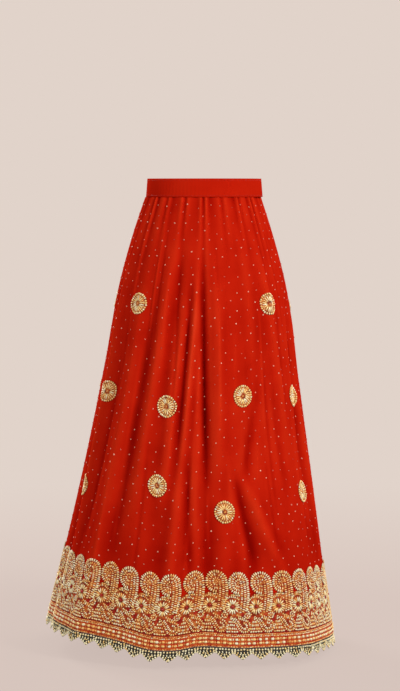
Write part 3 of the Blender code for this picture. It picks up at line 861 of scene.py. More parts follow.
# %% [markdown]
# ## The border's ground and raised thread work
#
# Under the beads lies a ground of close stitching in red, orange and bronze thread, and on it the
# motifs are filled with gold thread laid over padding, so they stand up by about a millimetre.
# The ground is a strip that follows the cloth just above it. A fill is a low cushion: rings drawn
# in from the motif's outline towards its middle and lifted as they go.

# %% Thread materials
STITCHES_PER_METRE = 700.0
BAND_HEM, BAND_LINE, BAND_LINE_HALF = 0.0300, 0.0312, 0.0011
BAND_LINE_DEPTH = 0.5


def thread_material(name, darkest, middle, lightest, roughness, metallic, band=0.0):
    """Close stitching: ridges across the UV, broken up by grain, over slow changes of tone.

    A band above 0 makes the lowest 30 mm lighter by that tone, with a fine dark line at its top.
    """
    material, tree, shader = new_material(
        name, Roughness=roughness, Metallic=metallic, Specular_IOR_Level=0.15
    )
    uv = flat_cut(tree)
    woven = use(tree, weave, Vector=uv, Threads_per_metre=STITCHES_PER_METRE, Grain=0.55)
    slow = use(tree, patches, Vector=uv, Patches_per_metre=90.0, Contrast=1.3)
    tone = swing(tree, woven.outputs["Tone"], 0.9)
    tone = maths(tree, "ADD", tone, slow.outputs["Tone"])
    if band:
        up = node(tree, "ShaderNodeSeparateXYZ", {"Vector": uv}).outputs["Y"]
        low = maths(tree, "LESS_THAN", up, BAND_HEM)
        line = maths(tree, "COMPARE", up, BAND_LINE, BAND_LINE_HALF)
        tone = maths(tree, "ADD", tone, maths(tree, "MULTIPLY", low, band))
        tone = maths(tree, "SUBTRACT", tone, maths(tree, "MULTIPLY", line, BAND_LINE_DEPTH))
    paint(tree, shader, tone, ((0.28, darkest), (0.50, middle), (0.74, lightest)))
    bump(tree, shader, woven.outputs["Height"], 0.0003)
    return material


ground_thread = thread_material(
    "red_ground_thread", (124, 9, 1), (178, 32, 6), (204, 88, 32), 0.6, 0.0, band=0.16
)
gold_thread = thread_material(
    "gold_thread", (118, 26, 3), (174, 62, 15), (208, 122, 51), 0.5, 0.1
)

# %% The ground
BORDER_BODY = 0.098
GROUND_LIFT = 0.0006
GROUND_WALL = 0.0004
GROUND_ROWS = 22

for side in HALVES:
    heights = np.linspace(BORDER_BODY, 0.0, GROUND_ROWS + 1)
    height, column = half_grid(side, CELLS_PER_COLUMN, heights)
    points = raised(column, height, np.full(height.shape, GROUND_LIFT))
    uv = flat_place(column, height)
    ground = make_sheet(f"{side}_border_ground", points, uv, GROUND_WALL)
    dress(ground, ground_thread, "embroidery", f"{side}_border")

# %% [markdown]
# ## The chart of one repeat
#
# The border repeats one paisley scroll 36 times: a round head, a neck that falls from its right
# side and ends in a curl, a flower under its left, and a stepped mound and a leaf that lies on
# the bands along the hem. The chart is in millimetres, x from the middle of the head and height
# above the hem. Outlines are ovals, or corners rounded by how they are sampled.

# %% Outlines of the fills
FILL_POINTS = 24
# Each ring's size as a share of the outline, and its height as a share of the crown.
FILL_RINGS = ((1.0, 0.0), (0.92, 0.75), (0.72, 0.95), (0.46, 1.0), (0.20, 1.0))
HEAD_HEIGHT = 138


def oval(x, h, wide, tall):
    """An oval outline, counterclockwise as seen from outside."""
    turn = np.linspace(0, 2 * np.pi, FILL_POINTS, endpoint=False)
    return np.stack([x + wide * np.cos(turn), h + tall * np.sin(turn)], 1)


def rounded(*corners):
    """A closed outline through corners, sampled evenly along its length and then smoothed."""
    loop = np.array(corners + corners[:1], float)
    at = np.linspace(0, length_along(loop)[-1], FILL_POINTS, endpoint=False)
    line = places_along(loop, at)
    return (np.roll(line, 1, 0) + 2 * line + np.roll(line, -1, 0)) / 4


NECK = (24.5, 138), (8, 132), (2, 112), (0, 95), (1, 76), (20, 76), (25, 95), (26, 116)
MOUND = (-19, 66), (-25, 54), (-29, 41), (-29, 31), (-1, 31), (-6, 43), (-12, 56)
LEAF = (-20, 71), (-6, 73), (6, 69), (16, 61), (26, 50), (25, 36), (6, 31), (-2, 44), (-10, 58)
# Each fill's outline, and the height of its crown.
REPEAT_FILLS = {
    "head": (oval(0, HEAD_HEIGHT, 23, 24.5), 0.9),
    "neck": (rounded(*NECK), 0.8),
    "curl": (oval(18.5, 68, 8.4, 8.4), 0.9),
    "flower": (oval(-11.5, 90.5, 22.5, 25), 0.6),
    "mound": (rounded(*MOUND), 0.8),
    "leaf": (rounded(*LEAF), 0.8),
}
print("fills in one repeat:", list(REPEAT_FILLS))

# %% Places in a repeat
PITCH_AT_HEM = HEM_LENGTH / REPEATS / MM
PITCH_LOSS = 0.027
BANDS_TOP, HAND_REACH = 31.0, 100.0
HAND_LEAN, HAND_WIDTH, HAND_DROP = 1.3, 0.02, 1.3
LEAN_BEAT, WIDTH_BEAT, DROP_BEAT = 2.3, 1.7, 1.3


def repeat_place(repeat, x, height):
    """The column, and the height in metres, of chart places in millimetres.

    A repeat narrows up the skirt as the cloth does. Above the bands each leans a little and is a
    little wider or lower than the next, by sines of its number, because it is worked by hand.
    """
    share = np.clip((height - BANDS_TOP) / HAND_REACH, 0.0, 1.0)
    wider = 1 + HAND_WIDTH * share * np.sin(WIDTH_BEAT * repeat)
    x = x * wider + HAND_LEAN * share * np.sin(LEAN_BEAT * repeat + 0.4)
    height = height + HAND_DROP * share * (np.sin(DROP_BEAT * repeat + 1.0) - 0.6)
    share_of_pitch = x / (PITCH_AT_HEM - PITCH_LOSS * height)
    return COLUMNS_PER_REPEAT * (repeat + share_of_pitch), height * MM


# %% Fills laid on the cloth
def shrunk_rings(outlines):
    """Each outline's rings, from the middle of its underside out to its edge and in over its top,
    as (fills, rings, points, 2), and the middles."""
    outlines = np.stack(outlines)
    middles = outlines.mean(axis=1, keepdims=True)
    shares = np.array([share for share, _ in FILL_RINGS])
    shares = np.concatenate([shares[:0:-1], shares])[None, :, None, None]
    return middles[:, None] + (outlines - middles)[:, None] * shares, middles[:, 0]


def make_fills(name, column, height, crown, middle, lift):
    """Low cushions: rings from shrunk_rings, raised on top by their share of the crown. The
    underside has the same rings, left flat on the cloth, so it bends with the folds.

    column and height are (fills, rings, points of a ring); crown is each fill's height.
    """
    count, rings, sides = column.shape
    rises = np.array([rise for _, rise in FILL_RINGS])
    rises = np.concatenate([0 * rises[1:], rises])
    lifts = lift + crown[:, None, None] * rises[None, :, None] + 0 * column
    middles = [np.repeat(values[:, None], 2, 1) for values in middle]
    middles.append(np.stack([np.full(count, lift), lift + crown], 1))
    columns, heights, lifts = (
        np.concatenate([values.reshape(count, -1), ends], 1)
        for values, ends in zip((column, height, lifts), middles)
    )
    index = np.arange(rings * sides).reshape(rings, sides)
    after = np.roll(index, -1, axis=1)
    quads = np.stack([index[:-1], after[:-1], after[1:], index[1:]], -1).reshape(-1, 4)
    bottom, top = (np.full(sides, rings * sides + end) for end in (0, 1))
    fans = np.vstack([
        np.stack([after[0], index[0], bottom], 1),
        np.stack([index[-1], after[-1], top], 1),
    ])
    offset = np.arange(count)[:, None, None] * columns.shape[1]
    faces = [(quads + offset).reshape(-1, 4), (fans + offset).reshape(-1, 3)]
    points = raised(columns, heights, lifts).reshape(-1, 3)
    return make_piece(name, points, faces, flat_place(columns, heights).reshape(-1, 2))


# %% The fills of the border
FIRST_REPEATS = {"front": -9, "back": 9}
HALF_REPEATS = REPEATS // 2
FILL_LIFT = GROUND_LIFT - 0.0001

for side, first in FIRST_REPEATS.items():
    repeat = np.repeat(np.arange(first, first + HALF_REPEATS), len(REPEAT_FILLS))
    rings, middles = shrunk_rings([outline for outline, _ in REPEAT_FILLS.values()] * HALF_REPEATS)
    crown = MM * np.array([rise for _, rise in REPEAT_FILLS.values()] * HALF_REPEATS)
    places = repeat_place(repeat[:, None, None], rings[..., 0], rings[..., 1])
    middle = repeat_place(repeat, middles[:, 0], middles[:, 1])
    fills = make_fills(f"{side}_border_fills", *places, crown, middle, FILL_LIFT)
    dress(fills, gold_thread, "embroidery")

# %% [markdown]
# The beads of a repeat are charted the same way. Three rows of short bars start at the lower left
# of the head, turn over its top and run down the neck to the curl. Sixteen long petals make the
# flower round a dark red stone. The leaf is drawn like the scroll, lying down. The bands along
# the hem are rows of ovals between lines of small bars.

# %% Rows that run along a path
CREAM, BUTTER, GOLD, BRONZE, STONE = 0.95, 0.83, 0.62, 0.34, -0.15
PETAL, OVAL, RIM, CORE = 0.88, 0.89, 0.84, 0.50
OUTER_ROW = path_through(
    *arc(0, HEAD_HEIGHT, 20.4, 21.6, 275, 0),
    (21.8, 126), (22, 112), (20.6, 97), (18.6, 86), (15, 77),
)
MIDDLE_ROW = path_through(
    *arc(0, HEAD_HEIGHT, 13.6, 14.8, 285, 0),
    (15, 124), (15, 112), (13.6, 97), (11.4, 84), (8.6, 75),
)
INNER_ROW = path_through(
    *arc(0, HEAD_HEIGHT, 7.0, 8.0, 300, 0), (8, 124), (8, 112), (6.8, 97), (5, 84), (3, 74)
)
LEAF_OUTER = path_through(
    (-18.5, 67), (-11, 58), (-4, 47), (1.5, 36), (9, 32.6), (18, 34), (23.6, 41), (23.6, 51),
    (17, 57.6), (8, 59.6), (-3, 64.6),
)
LEAF_INNER = path_through(
    (-10, 64), (-3, 56.5), (3.4, 46), (9, 39.4), (15.6, 40.6), (18.2, 46.6), (14, 52), (8.6, 52.4)
)
LEAF_TOP = path_through((-6, 70.5), (2, 67), (8, 64.8), (13, 60.5))

# %% Beads of one repeat
HALF_PITCH, HALF_OVAL_PITCH = 26.8, 6.7


def hem_row(height, count, turn, length, width, tone, shift=0.0):
    """A row of a band: beads spaced evenly over the whole repeat."""
    return bead_line(
        shift - HALF_PITCH, height, shift + HALF_PITCH, height, count, turn, length, width, tone
    )


REPEAT_BEADS = np.vstack([
    # the scroll: its three rows, and the middle of its head
    bead_path(OUTER_ROW, 4.6, 90, 7.6, 3.3, CREAM),
    bead_path(MIDDLE_ROW, 4.5, 90, 6.6, 3.1, BUTTER),
    bead_path(INNER_ROW, 4.4, 90, 5.4, 3.0, BUTTER),
    bead_ring(0, HEAD_HEIGHT, 2.0, 2.2, 4, 45, 360, 3.0, 2.6, GOLD),
    # its curl
    bead_ring(18.5, 68, 5.4, 5.4, 9, 0, 360, 4.0, 3.2, CREAM),
    one_bead(18.4, 68, 180, 3.6, 3.6, BUTTER),
    # flower and the row that half rings it
    bead_ring(-13, 87, 10.8, 10.8, 16, 10, 360, 12.4, 3.6, PETAL),
    one_bead(-13.1, 87, 180, 6.8, 6.8, STONE),
    bead_ring(-13, 88, 20.6, 20.6, 17, 44, 196, 5.0, 3.2, BUTTER),
    bead_line(-17, 112.6, 4, 111.6, 6, 80, 4.6, 3.0, BUTTER),
    # leaf: rows like the scroll's, and a stone
    bead_path(LEAF_OUTER, 4.2, 90, 5.6, 3.3, BUTTER),
    bead_path(LEAF_INNER, 4.0, 90, 5.4, 3.2, CREAM),
    bead_path(LEAF_TOP, 4.0, 90, 4.6, 3.2, BUTTER),
    one_bead(12.5, 46.4, 180, 4.4, 4.0, BRONZE),
    # mound: steps that widen downwards
    one_bead(-18, 61.0, 90, 5.2, 3.6, CREAM),
    bead_line(-23, 54.6, -12, 54.6, 3, 80, 5.4, 3.4, CREAM),
    bead_line(-26, 47.6, -9, 47.6, 4, 90, 5.6, 3.6, CREAM),
    bead_line(-28, 40.4, -5.5, 40.4, 6, 90, 5.6, 3.3, BUTTER),
    bead_line(-29, 33.8, -2, 33.8, 5, 0, 5.2, 4.0, CREAM),
    # bands along the hem
    hem_row(27.6, 12, 0, 4.6, 2.6, GOLD),
    hem_row(24.4, 11, 0, 5.0, 2.8, BUTTER),
    hem_row(17.2, 4, 0, 9.0, 6.4, OVAL),
    hem_row(17.2, 4, 90, 6.0, 3.2, GOLD, shift=HALF_OVAL_PITCH),
    hem_row(9.2, 4, 0, 9.2, 6.2, OVAL),
    hem_row(9.2, 4, 90, 5.8, 3.4, GOLD, shift=HALF_OVAL_PITCH),
    hem_row(1.8, 9, 0, 5.8, 3.0, GOLD),
])
print("beads in one repeat:", len(REPEAT_BEADS))

# %% Beads of the whole border
BEAD_LIFT = GROUND_LIFT + 0.0002
ON_FILL = 0.0006
REPEAT_TINT = 0.035
BORDER_JITTER = (0.30, 6.0, 0.14)
BORDER_SEED = 40


def embroider(name, chart, copies, seed, jitter, place, lift, slot="embroidery", on_fill=0, tint=0):
    """Sets the beads of a chart on each of its copies, scattered a little.

    place(copy, x, height) turns the chart's millimetres into columns and metres. Beads above the
    bands are raised by on_fill as well. With a tint, each copy is lighter or darker than the next.
    """
    draw = np.random.default_rng(seed)
    rows = scatter(np.tile(chart, (copies, 1)), draw, *jitter)
    copy = np.repeat(np.arange(copies), len(chart))
    x, height, turn, length, width, tone = rows.T
    if tint:
        tone = np.where(tone > BRONZE, tone + draw.normal(0.0, tint, copies)[copy], tone)
    lift = (lift + on_fill * (height > BANDS_TOP))[:, None]
    places = on_cloth(*place(copy, x, height))
    beads = set_beads(name, places, turn, length * MM, width * MM, tone, lift)
    dress(beads, beads_material, slot)


for side, first in FIRST_REPEATS.items():
    embroider(
        f"{side}_border_beads", REPEAT_BEADS, HALF_REPEATS, BORDER_SEED + first, BORDER_JITTER,
        lambda copy, x, height: repeat_place(first + copy, x, height),
        BEAD_LIFT, on_fill=ON_FILL, tint=REPEAT_TINT,
    )

# %% [markdown]
# ## Butis
#
# A buti is a round flower worked on the plain cloth. It is a gold fill with a rim of cream blocks,
# long petals inside it, a short gold bar between their outer ends, and four beads in the middle.
# Each keeps its size wherever it lies, so its chart is turned into columns with the width that a
# column has at that height.

# %% The butis and their beads
# Angle in degrees and fall of each buti's middle.
BUTIS = (
    (-46.0, 0.245), (47.0, 0.240), (112.0, 0.250), (160.0, 0.240), (207.0, 0.255), (253.0, 0.245),
    (-18.5, 0.468), (23.75, 0.445), (67.0, 0.450), (114.0, 0.465), (160.0, 0.450), (205.0, 0.460),
    (251.0, 0.450), (296.0, 0.455),
    (-19.75, 0.645), (13.0, 0.703), (62.0, 0.665), (112.0, 0.680), (154.0, 0.655), (192.0, 0.690),
    (232.0, 0.665), (288.0, 0.680),
)
BUTI_HALF_WIDTH, BUTI_HALF_HEIGHT = 22.2, 24.5
BUTI_CROWN, BUTI_LIFT, BUTI_BEAD_LIFT = 0.0010, 0.0001, 0.0009
BUTI_PETAL = 0.86
BUTI_JITTER = (0.25, 4.0, 0.08)
BUTI_SEED = 70
BUTI_BEADS = np.vstack([
    bead_ring(0, 0, 19.6, 21.9, 27, 0, 360, 5.6, 4.6, RIM),
    bead_ring(0, 0, 11.0, 12.2, 18, 0, 360, 14.4, 3.5, BUTI_PETAL),
    bead_ring(0, 0, 15.6, 17.5, 18, 10, 360, 4.6, 2.4, GOLD),
    bead_ring(0, 0, 1.6, 1.8, 4, 0, 360, 3.4, 3.0, CORE),
])


def round_place(angle, fall, x, h):
    """Columns and heights of places x and h millimetres from a buti's middle."""
    before, after = angle - 1.0, angle + 1.0
    step = plain_point(after, fall, 0.0) - plain_point(before, fall, 0.0)
    columns_per_metre = (column_of(after) - column_of(before)) / np.linalg.norm(step, axis=-1)
    return column_of(angle) + x * MM * columns_per_metre, (1 - fall) * CLOTH_SLANT + h * MM


angles, falls = np.array(BUTIS).T
in_front = column_of(angles) < LEFT_SEAM
for side, mine in (("front", in_front), ("back", ~in_front)):
    angle, fall = angles[mine], falls[mine]
    rings, _ = shrunk_rings([oval(0, 0, BUTI_HALF_WIDTH, BUTI_HALF_HEIGHT)] * len(angle))
    spots = round_place(angle[:, None, None], fall[:, None, None], rings[..., 0], rings[..., 1])
    middle = round_place(angle, fall, 0.0, 0.0)
    crown = np.full(len(angle), BUTI_CROWN)
    fills = make_fills(f"{side}_buti_fills", *spots, crown, middle, BUTI_LIFT)
    numbers = np.flatnonzero(mine) + 1
    dress(fills, gold_thread, "embroidery", *[f"buti_{number:02d}" for number in numbers])
    embroider(
        f"{side}_buti_beads", BUTI_BEADS, len(angle), BUTI_SEED + len(angle), BUTI_JITTER,
        lambda copy, x, height: round_place(angle[copy], fall[copy], x, height), BUTI_BEAD_LIFT,
    )

# %% [markdown]
# ## Sequins
#
# Small round sequins are sewn over all the plain cloth in a diamond lattice. They were put on the
# flat cut before it was gathered, so the lattice is laid out in the flat cut and then carried to
# the skirt, where it spreads and bends with the folds. None is sewn under a buti or the border.

# %% Sequin material
SEQUIN_PINKS = (0.0, (196, 50, 31)), (0.45, (224, 98, 73)), (1.0, (246, 184, 154))
sequin_material, *_ = speckled_material(
    "sequins", SEQUIN_PINKS, specks=300.0, contrast=0.4, relief=0.0001,
    Roughness=0.36, Metallic=0.25, Coat_Weight=0.3, Coat_Roughness=0.15,
)

# %% The sequins
SEQUIN_ACROSS, SEQUIN_UP = 0.0300, 0.0185
SHIFT_ACROSS, SHIFT_UP = 0.0034, 0.0028
SEQUIN, SEQUIN_LIFT = 0.0032, 0.0001
SEQUIN_SIZES = (0.75, 1.25)
SEQUIN_REACH = 18
SEQUIN_SEED = 90
CLEAR_OF_BUTI = 0.028
LOWEST_ROW, LOWEST_SEQUIN = 0.169, 0.167
CLEAR_OF_BAND = 0.012
CLEAR_OF_SEAM = 0.49

for side, (first, last) in HALVES.items():
    draw = np.random.default_rng(SEQUIN_SEED + first)
    rows = np.arange(LOWEST_ROW, CLOTH_SLANT - CLEAR_OF_BAND, SEQUIN_UP)
    places_across = np.arange(-SEQUIN_REACH, SEQUIN_REACH + 1) * SEQUIN_ACROSS
    height, x = np.meshgrid(rows, places_across, indexing="ij")
    x = x + (np.arange(len(rows)) % 2)[:, None] * SEQUIN_ACROSS / 2
    x = (x + draw.normal(0.0, SHIFT_ACROSS, x.shape)).ravel()
    height = (height + draw.normal(0.0, SHIFT_UP, height.shape)).ravel()
    share = x / flat_width(height)
    column = (first + last) / 2 + share * (last - first)
    kept = (np.abs(share) < CLEAR_OF_SEAM) & (height > LOWEST_SEQUIN)
    point = raised(column, height, 0 * height)
    for angle, fall in BUTIS:
        middle = raised(column_of(angle), (1 - fall) * CLOTH_SLANT, 0.0)
        kept &= np.linalg.norm(point - middle, axis=-1) > CLEAR_OF_BUTI
    places = on_cloth(column[kept], height[kept])
    count = int(kept.sum())
    size = SEQUIN * draw.uniform(*SEQUIN_SIZES, count)
    tone = draw.uniform(0.0, 1.0, count)
    turn = draw.uniform(0, 360 / BEAD_SIDES, count)
    sequins = set_beads(f"{side}_sequins", places, turn, size, size, tone, SEQUIN_LIFT, rise=0.3)
    dress(sequins, sequin_material, "embroidery")

# %% [markdown]
# ## The lace
#
# Below the hem hangs a dark net with a zigzag edge. A row of cream beads runs along the hem and
# another down both sides of each point, with short bars hanging between them. The net is a sheet
# that goes straight on from the cloth. Its lower edge is a triangle wave.

# %% The net and its material
TOOTH_COLUMNS = 3
LACE_TOP, LACE_VALLEY, LACE_TIP = 0.3, 11.0, 25.0
NET_WALL = 0.0006
NET_ROWS = 6
NET_CELLS = 4
NET_TONES = (0.35, (10, 8, 4)), (0.55, (30, 24, 12)), (0.68, (74, 64, 38))


def lace_depth(column):
    """How far the lace hangs at a column, in millimetres: a triangle wave from valley to tip."""
    share = ((column - RIGHT_SEAM) / TOOTH_COLUMNS) % 1.0
    return LACE_VALLEY + (LACE_TIP - LACE_VALLEY) * (1 - np.abs(2 * share - 1))


net_material, tree, shader = new_material("dark_net", Roughness=0.7)
turned = node(
    tree, "ShaderNodeMapping", {"Vector": flat_cut(tree), "Rotation": (0.0, 0.0, math.radians(45))}
)
knots = use(tree, weave, Vector=turned.outputs["Vector"], Threads_per_metre=420.0, Grain=0.15)
paint(tree, shader, knots.outputs["Tone"], NET_TONES)
bump(tree, shader, knots.outputs["Height"], 0.0003)

for side in HALVES:
    share, column = half_grid(side, NET_CELLS, np.linspace(0.0, 1.0, NET_ROWS + 1))
    height = -MM * (LACE_TOP + share * (lace_depth(column) - LACE_TOP))
    points, uv = raised(column, height, 0 * height), flat_place(column, height)
    net = make_sheet(f"{side}_lace_net", points, uv, NET_WALL)
    dress(net, net_material, "lace", f"{side}_lace")

# %% Beads of the lace
TOOTH = HEM_LENGTH / COLUMNS * TOOTH_COLUMNS / MM
SLOPE = math.degrees(math.atan2(LACE_TIP - LACE_VALLEY, TOOTH / 2))
LACE_LIFT = 0.0002
LACE_JITTER = (0.40, 9.0, 0.07)
LACE_SEED = 120


def zigzag_beads(inside, count, length, width, tone):
    """A row of beads down one side of a tooth and up the other, a distance inside its edge."""
    left, right = -TOOTH / 2, TOOTH / 2
    high, low = inside - LACE_VALLEY, inside - LACE_TIP
    return np.vstack([
        bead_line(left, high, 0, low, count, -SLOPE, length, width, tone),
        bead_line(0, low, right, high, count, SLOPE, length, width, tone),
    ])


TOOTH_BEADS = np.vstack([
    bead_line(-TOOTH / 2, -4.2, TOOTH / 2, -4.2, 6, 0, 5.2, 4.8, CREAM),
    zigzag_beads(1.5, 4, 5.0, 5.2, CREAM),
    one_bead(-10.4, -10.5, 90, 5.4, 3.2, CREAM),
    one_bead(-3.6, -10.6, 90, 6.2, 3.2, CREAM),
    one_bead(3.6, -10.6, 90, 6.2, 3.2, CREAM),
    one_bead(10.4, -10.5, 90, 5.4, 3.2, CREAM),
    bead_line(-7.4, -14.2, 7.4, -14.2, 3, 0, 4.2, 3.4, CREAM),
    one_bead(0, -18.1, 90, 5.4, 3.4, CREAM),
    one_bead(2.5 - TOOTH / 2, -7.9, 0, 4.4, 4.0, CREAM),
    one_bead(TOOTH / 2 - 2.5, -7.9, 0, 4.4, 4.0, CREAM),
])
print("beads on one point of the lace:", len(TOOTH_BEADS))

for side, (first, last) in HALVES.items():
    teeth = (last - first) // TOOTH_COLUMNS
    embroider(
        f"{side}_lace_beads", TOOTH_BEADS, teeth, LACE_SEED + first, LACE_JITTER,
        lambda copy, x, height: (first + TOOTH_COLUMNS * (copy + 0.5 + x / TOOTH), height * MM),
        LACE_LIFT, slot="lace",
    )

# %% [markdown]
# ## The waistband and the placket
#
# The band is a strip of the same cloth, folded double. It starts under the overlap at the wearer's
# left, runs all the way round and ends over its own start. A line of stitches holds each edge. The
# placket is a plain strip behind the side opening.

# %% The waistband
BAND_WALL = 0.0020
BAND_CLOTH = 0.0018
BAND_TOP_EASE = 0.003
OVERLAP_START, OVERLAP_END, OVERLAP_RAMP, RAMP_CLEAR = 72.0, 85.0, 15.0, 2.0
BAND_SWEEP = 360.0 + OVERLAP_END - OVERLAP_START
FASTENER_SPACE = 0.0040
BAND_STEPS, BAND_ROWS = 420, 10
BAND_WAVES, PUCKER, PUCKER_AT_TOP = 90, 0.00022, 0.4


def overlap_rise(angle):
    """How far the band stands out: it climbs over its own first end at the wearer's left."""
    first = 360.0 + OVERLAP_START - OVERLAP_RAMP
    return (BAND_WALL + FASTENER_SPACE) * ease((angle - first) / (OVERLAP_RAMP - RAMP_CLEAR))


def band_point(angle, share_up, out):
    """The waistband's outer face: the waist's ellipse, a little smaller at the top."""
    turn = np.radians(angle)
    grown = out - BAND_TOP_EASE * share_up
    wide = SECTIONS["half_width"][0] + grown
    deep = np.where(np.cos(turn) > 0, SECTIONS["front_depth"][0], SECTIONS["back_depth"][0]) + grown
    height = -BAND_HEIGHT * (1 - share_up) + 0 * turn
    return np.stack([wide * np.sin(turn), -deep * np.cos(turn), height], -1)


share_down, share_round = np.meshgrid(
    np.linspace(0, 1, BAND_ROWS + 1), np.linspace(0, 1, BAND_STEPS + 1), indexing="ij"
)
angle = OVERLAP_START + BAND_SWEEP * share_round
depth = PUCKER_AT_TOP + (1 - PUCKER_AT_TOP) * share_down
puckers = PUCKER * np.sin(np.radians(angle) * BAND_WAVES) * depth
band_points = band_point(angle, 1 - share_down, overlap_rise(angle) + puckers)
band_length = float(length_along(band_points[0])[-1])
band_uv = np.stack([share_round * band_length, -share_down * BAND_HEIGHT], -1)
band = make_sheet("band_cloth", band_points, band_uv, BAND_CLOTH)
dress(band, georgette, "georgette", "waistband")
print("band length in metres:", round(band_length, 3))

# %% Stitches on the band and beside the opening
STITCH_PITCH, STITCH_LENGTH, STITCH_WIDTH = 0.0042, 0.0030, 0.0007
STITCH_ROWS = (0.10, 0.90)
BESIDE_OPENING = 0.6
OPENING_STITCHES = (0.008, 0.19)
STITCH_LIFT = 0.0001
BAND_STEP_ROUND, BAND_STEP_UP = 0.5, 0.1


def on_band(angle, share_up):
    """Places on the band like those of on_cloth: points, along, up and out."""
    here = band_point(angle, share_up, overlap_rise(angle))
    after = angle + BAND_STEP_ROUND
    along = unit(band_point(after, share_up, overlap_rise(after)) - here)
    up = unit(band_point(angle, share_up + BAND_STEP_UP, overlap_rise(angle)) - here)
    return here, along, up, unit(np.cross(along, up))


STITCH_REDS = (0.3, (150, 8, 2)), (0.7, (196, 26, 10))
stitch_material, *_ = speckled_material(
    "red_stitches", STITCH_REDS, specks=700.0, contrast=1.0, relief=0.0001, painted=False,
    Roughness=0.55,
)

count = int(band_length / STITCH_PITCH)
angle = OVERLAP_START + even_steps(BAND_SWEEP, count)
drop = np.arange(*OPENING_STITCHES, STITCH_PITCH)
rows = [on_band(angle, share_up) for share_up in STITCH_ROWS]
for beside in (-BESIDE_OPENING, BESIDE_OPENING):
    rows.append(on_cloth(LEFT_SEAM + beside + 0 * drop, CLOTH_SLANT - drop))
places = [np.concatenate(parts) for parts in zip(*rows)]
turn = np.concatenate([np.zeros(2 * count), np.full(2 * len(drop), 90.0)])
same = np.ones(len(turn))
stitches = set_beads(
    "band_stitches", places, turn, STITCH_LENGTH * same, STITCH_WIDTH * same, 0.5 * same,
    STITCH_LIFT,
)
dress(stitches, stitch_material, "georgette")

# %% The placket
PLACKET_FALL = 0.20
UNDER_BAND = 0.0025
PLACKET_BEHIND, PLACKET_WALL = 0.0018, 0.0009
PLACKET_COLUMNS = 4
PLACKET_GRID = (40, 21)
heights = np.linspace(CLOTH_SLANT - UNDER_BAND, (1 - PLACKET_FALL) * CLOTH_SLANT, PLACKET_GRID[0])
across = np.linspace(-PLACKET_COLUMNS / 2, PLACKET_COLUMNS / 2, PLACKET_GRID[1])
height, across = np.meshgrid(heights, across, indexing="ij")
placket_points = raised(LEFT_SEAM + across, height, 0 * height - PLACKET_BEHIND)
placket_width = float(np.linalg.norm(np.diff(placket_points, axis=1), axis=-1).sum(axis=1).mean())
placket_uv = np.stack([across / PLACKET_COLUMNS * placket_width, height], -1)
placket = make_sheet("placket_cloth", placket_points, placket_uv, PLACKET_WALL)
dress(placket, georgette, "georgette", "placket")
print("placket width in metres:", round(placket_width, 4))

# %% [markdown]
# Hooks and bars are pressed from nickel-plated steel. The solids have their true shape, so they
# stay, and get a nickel finish that fine marks make a little uneven.

# %% Hook material
NICKEL = (0.3, (176, 172, 164)), (0.7, (214, 210, 202))
hook_metal, tree, shader, marks = speckled_material(
    "nickel", NICKEL, specks=900.0, contrast=1.2, relief=0.00005, painted=False,
    Roughness=0.3, Metallic=1.0,
)
tree.links.new(maths(tree, "MULTIPLY_ADD", marks, 0.3, 0.18), shader.inputs["Roughness"])
for which in ("upper", "lower"):
    for kind in ("bar", "hook"):
        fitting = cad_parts[f"waist_{kind}_{which}"]
        fitting.data.materials.clear()
        fitting.data.materials.append(hook_metal)

# %% [markdown]

# %% [markdown]
# ## The studio
#
# The skirt hangs just clear of a pale pinkish floor. A round backdrop curves up from the floor far
# behind, so there is no horizon from any side. Two large soft lights stand in front and two behind,
# and the world lights the rest. The backdrop glows by itself and takes only a faint shade.

# %% Backdrop
FLOOR_LEVEL = -1.0335
FLOOR_RINGS = [0.0, 2.0, 5.0, 9.0]
BEND_RADIUS = 4.0
WALL_TOP = 9.0
BEND_STEPS, ROUND_STEPS = 12, 96
bend = np.radians(np.linspace(0, 90, BEND_STEPS + 1))[1:]
floor_end = FLOOR_RINGS[-1]
wall = floor_end + BEND_RADIUS
profile_r = np.concatenate([FLOOR_RINGS, floor_end + BEND_RADIUS * np.sin(bend), [wall]])
profile_z = np.concatenate([[0.0] * len(FLOOR_RINGS), BEND_RADIUS * (1 - np.cos(bend)), [WALL_TOP]])
radius, level = profile_r[::-1, None], profile_z[::-1, None] + FLOOR_LEVEL
around = np.radians(np.linspace(0, 360, ROUND_STEPS + 1))[None]
points = np.stack([radius * np.sin(around), -radius * np.cos(around), level + 0 * around], -1)
mesh = bpy.data.meshes.new("backdrop")
quads = grid_quads(*points.shape[:2])[:, ::-1]
mesh.from_pydata(points.reshape(-1, 3).tolist(), [], quads.tolist())
mesh.shade_smooth()
backdrop = add_object("backdrop", mesh)
backdrop.visible_diffuse = False
backdrop.visible_shadow = False

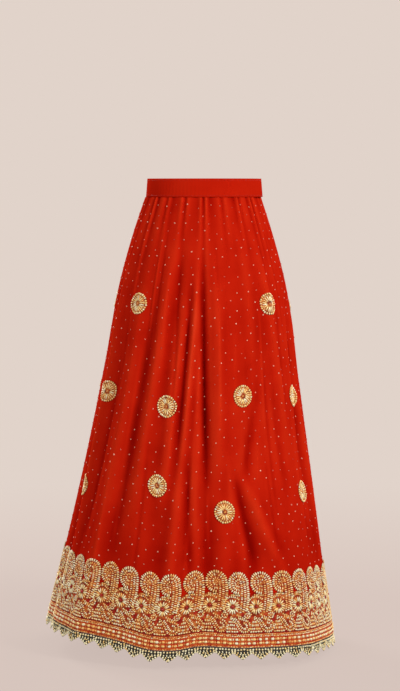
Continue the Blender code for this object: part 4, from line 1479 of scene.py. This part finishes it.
# %% Backdrop paper: it glows evenly, and near the skirt it takes a little light and shade
NEAR, FAR = 0.7, 2.6
NEAR_GLOW, NEAR_LIT = 0.87, 0.14
PAPER = (0.0, (214, 197, 189)), (1.0, (225, 211, 202))
paper, tree, shader = new_material("backdrop_paper", Roughness=0.9, Specular_IOR_Level=0.0)
level = node(
    tree, "ShaderNodeVectorMath", {0: object_place(tree), 1: (1.0, 1.0, 0.0)}, operation="MULTIPLY"
)
radius = node(tree, "ShaderNodeVectorMath", {0: level.outputs[0]}, operation="LENGTH")
limits = {"Value": radius.outputs["Value"], "From Min": NEAR, "From Max": FAR}
far = node(tree, "ShaderNodeMapRange", limits).outputs[0]
paper_colour = ramp(tree, far, *PAPER)
glow = maths(tree, "MULTIPLY_ADD", far, 1 - NEAR_GLOW, NEAR_GLOW)
tree.links.new(paper_colour, shader.inputs["Emission Color"])
tree.links.new(glow, shader.inputs["Emission Strength"])
lit = maths(tree, "MULTIPLY_ADD", far, -NEAR_LIT, NEAR_LIT)
dimmed = node(tree, "ShaderNodeHueSaturation", {"Color": paper_colour, "Value": lit})
tree.links.new(dimmed.outputs["Color"], shader.inputs["Base Color"])
mesh.materials.append(paper)

# %% Lights and world
LOOK_AT = Vector((0.0, 0.0, -0.5))
# Each light's place, the side of its square, and its power in watts.
LIGHTS = {
    "key": ((3.4, -3.4, 2.0), 1.2, 154.0),
    "fill": ((-3.0, -3.8, 1.2), 2.6, 51.0),
    "back_left": ((-2.6, 3.6, 2.0), 1.6, 145.0),
    "back_right": ((3.0, 3.2, 1.6), 2.6, 78.0),
}
for name, (spot, size, power) in LIGHTS.items():
    data = bpy.data.lights.new(name, "AREA")
    data.size = size
    data.energy = power
    light = add_object(name, data)
    light.location = spot
    light.rotation_euler = (LOOK_AT - light.location).to_track_quat("-Z", "Y").to_euler()

WORLD_COLOUR, WORLD_STRENGTH = (1.0, 0.965, 0.94, 1.0), 0.38
world = bpy.data.worlds.new("studio")
world.use_nodes = True
sky = world.node_tree.nodes["Background"].inputs
sky["Color"].default_value = WORLD_COLOUR
sky["Strength"].default_value = WORLD_STRENGTH
bpy.context.scene.world = world
bpy.context.scene.view_settings.view_transform = "Standard"

# %% Camera
CAMERA_PLACE = (-0.0066, -5.0, 0.02)
CAMERA_PITCH = 4.43
SENSOR = 36.0
FRAME_TALL = 691
FOCAL_PIXELS = 2272.7
camera_data = bpy.data.cameras.new("camera")
camera_data.sensor_width = SENSOR
camera_data.lens = SENSOR * FOCAL_PIXELS / FRAME_TALL
camera = add_object("camera", camera_data)
camera.location = CAMERA_PLACE
camera.rotation_euler = (math.radians(90.0 - CAMERA_PITCH), 0.0, 0.0)
bpy.context.scene.camera = camera

# %% Finish
bpy.context.view_layer.update()
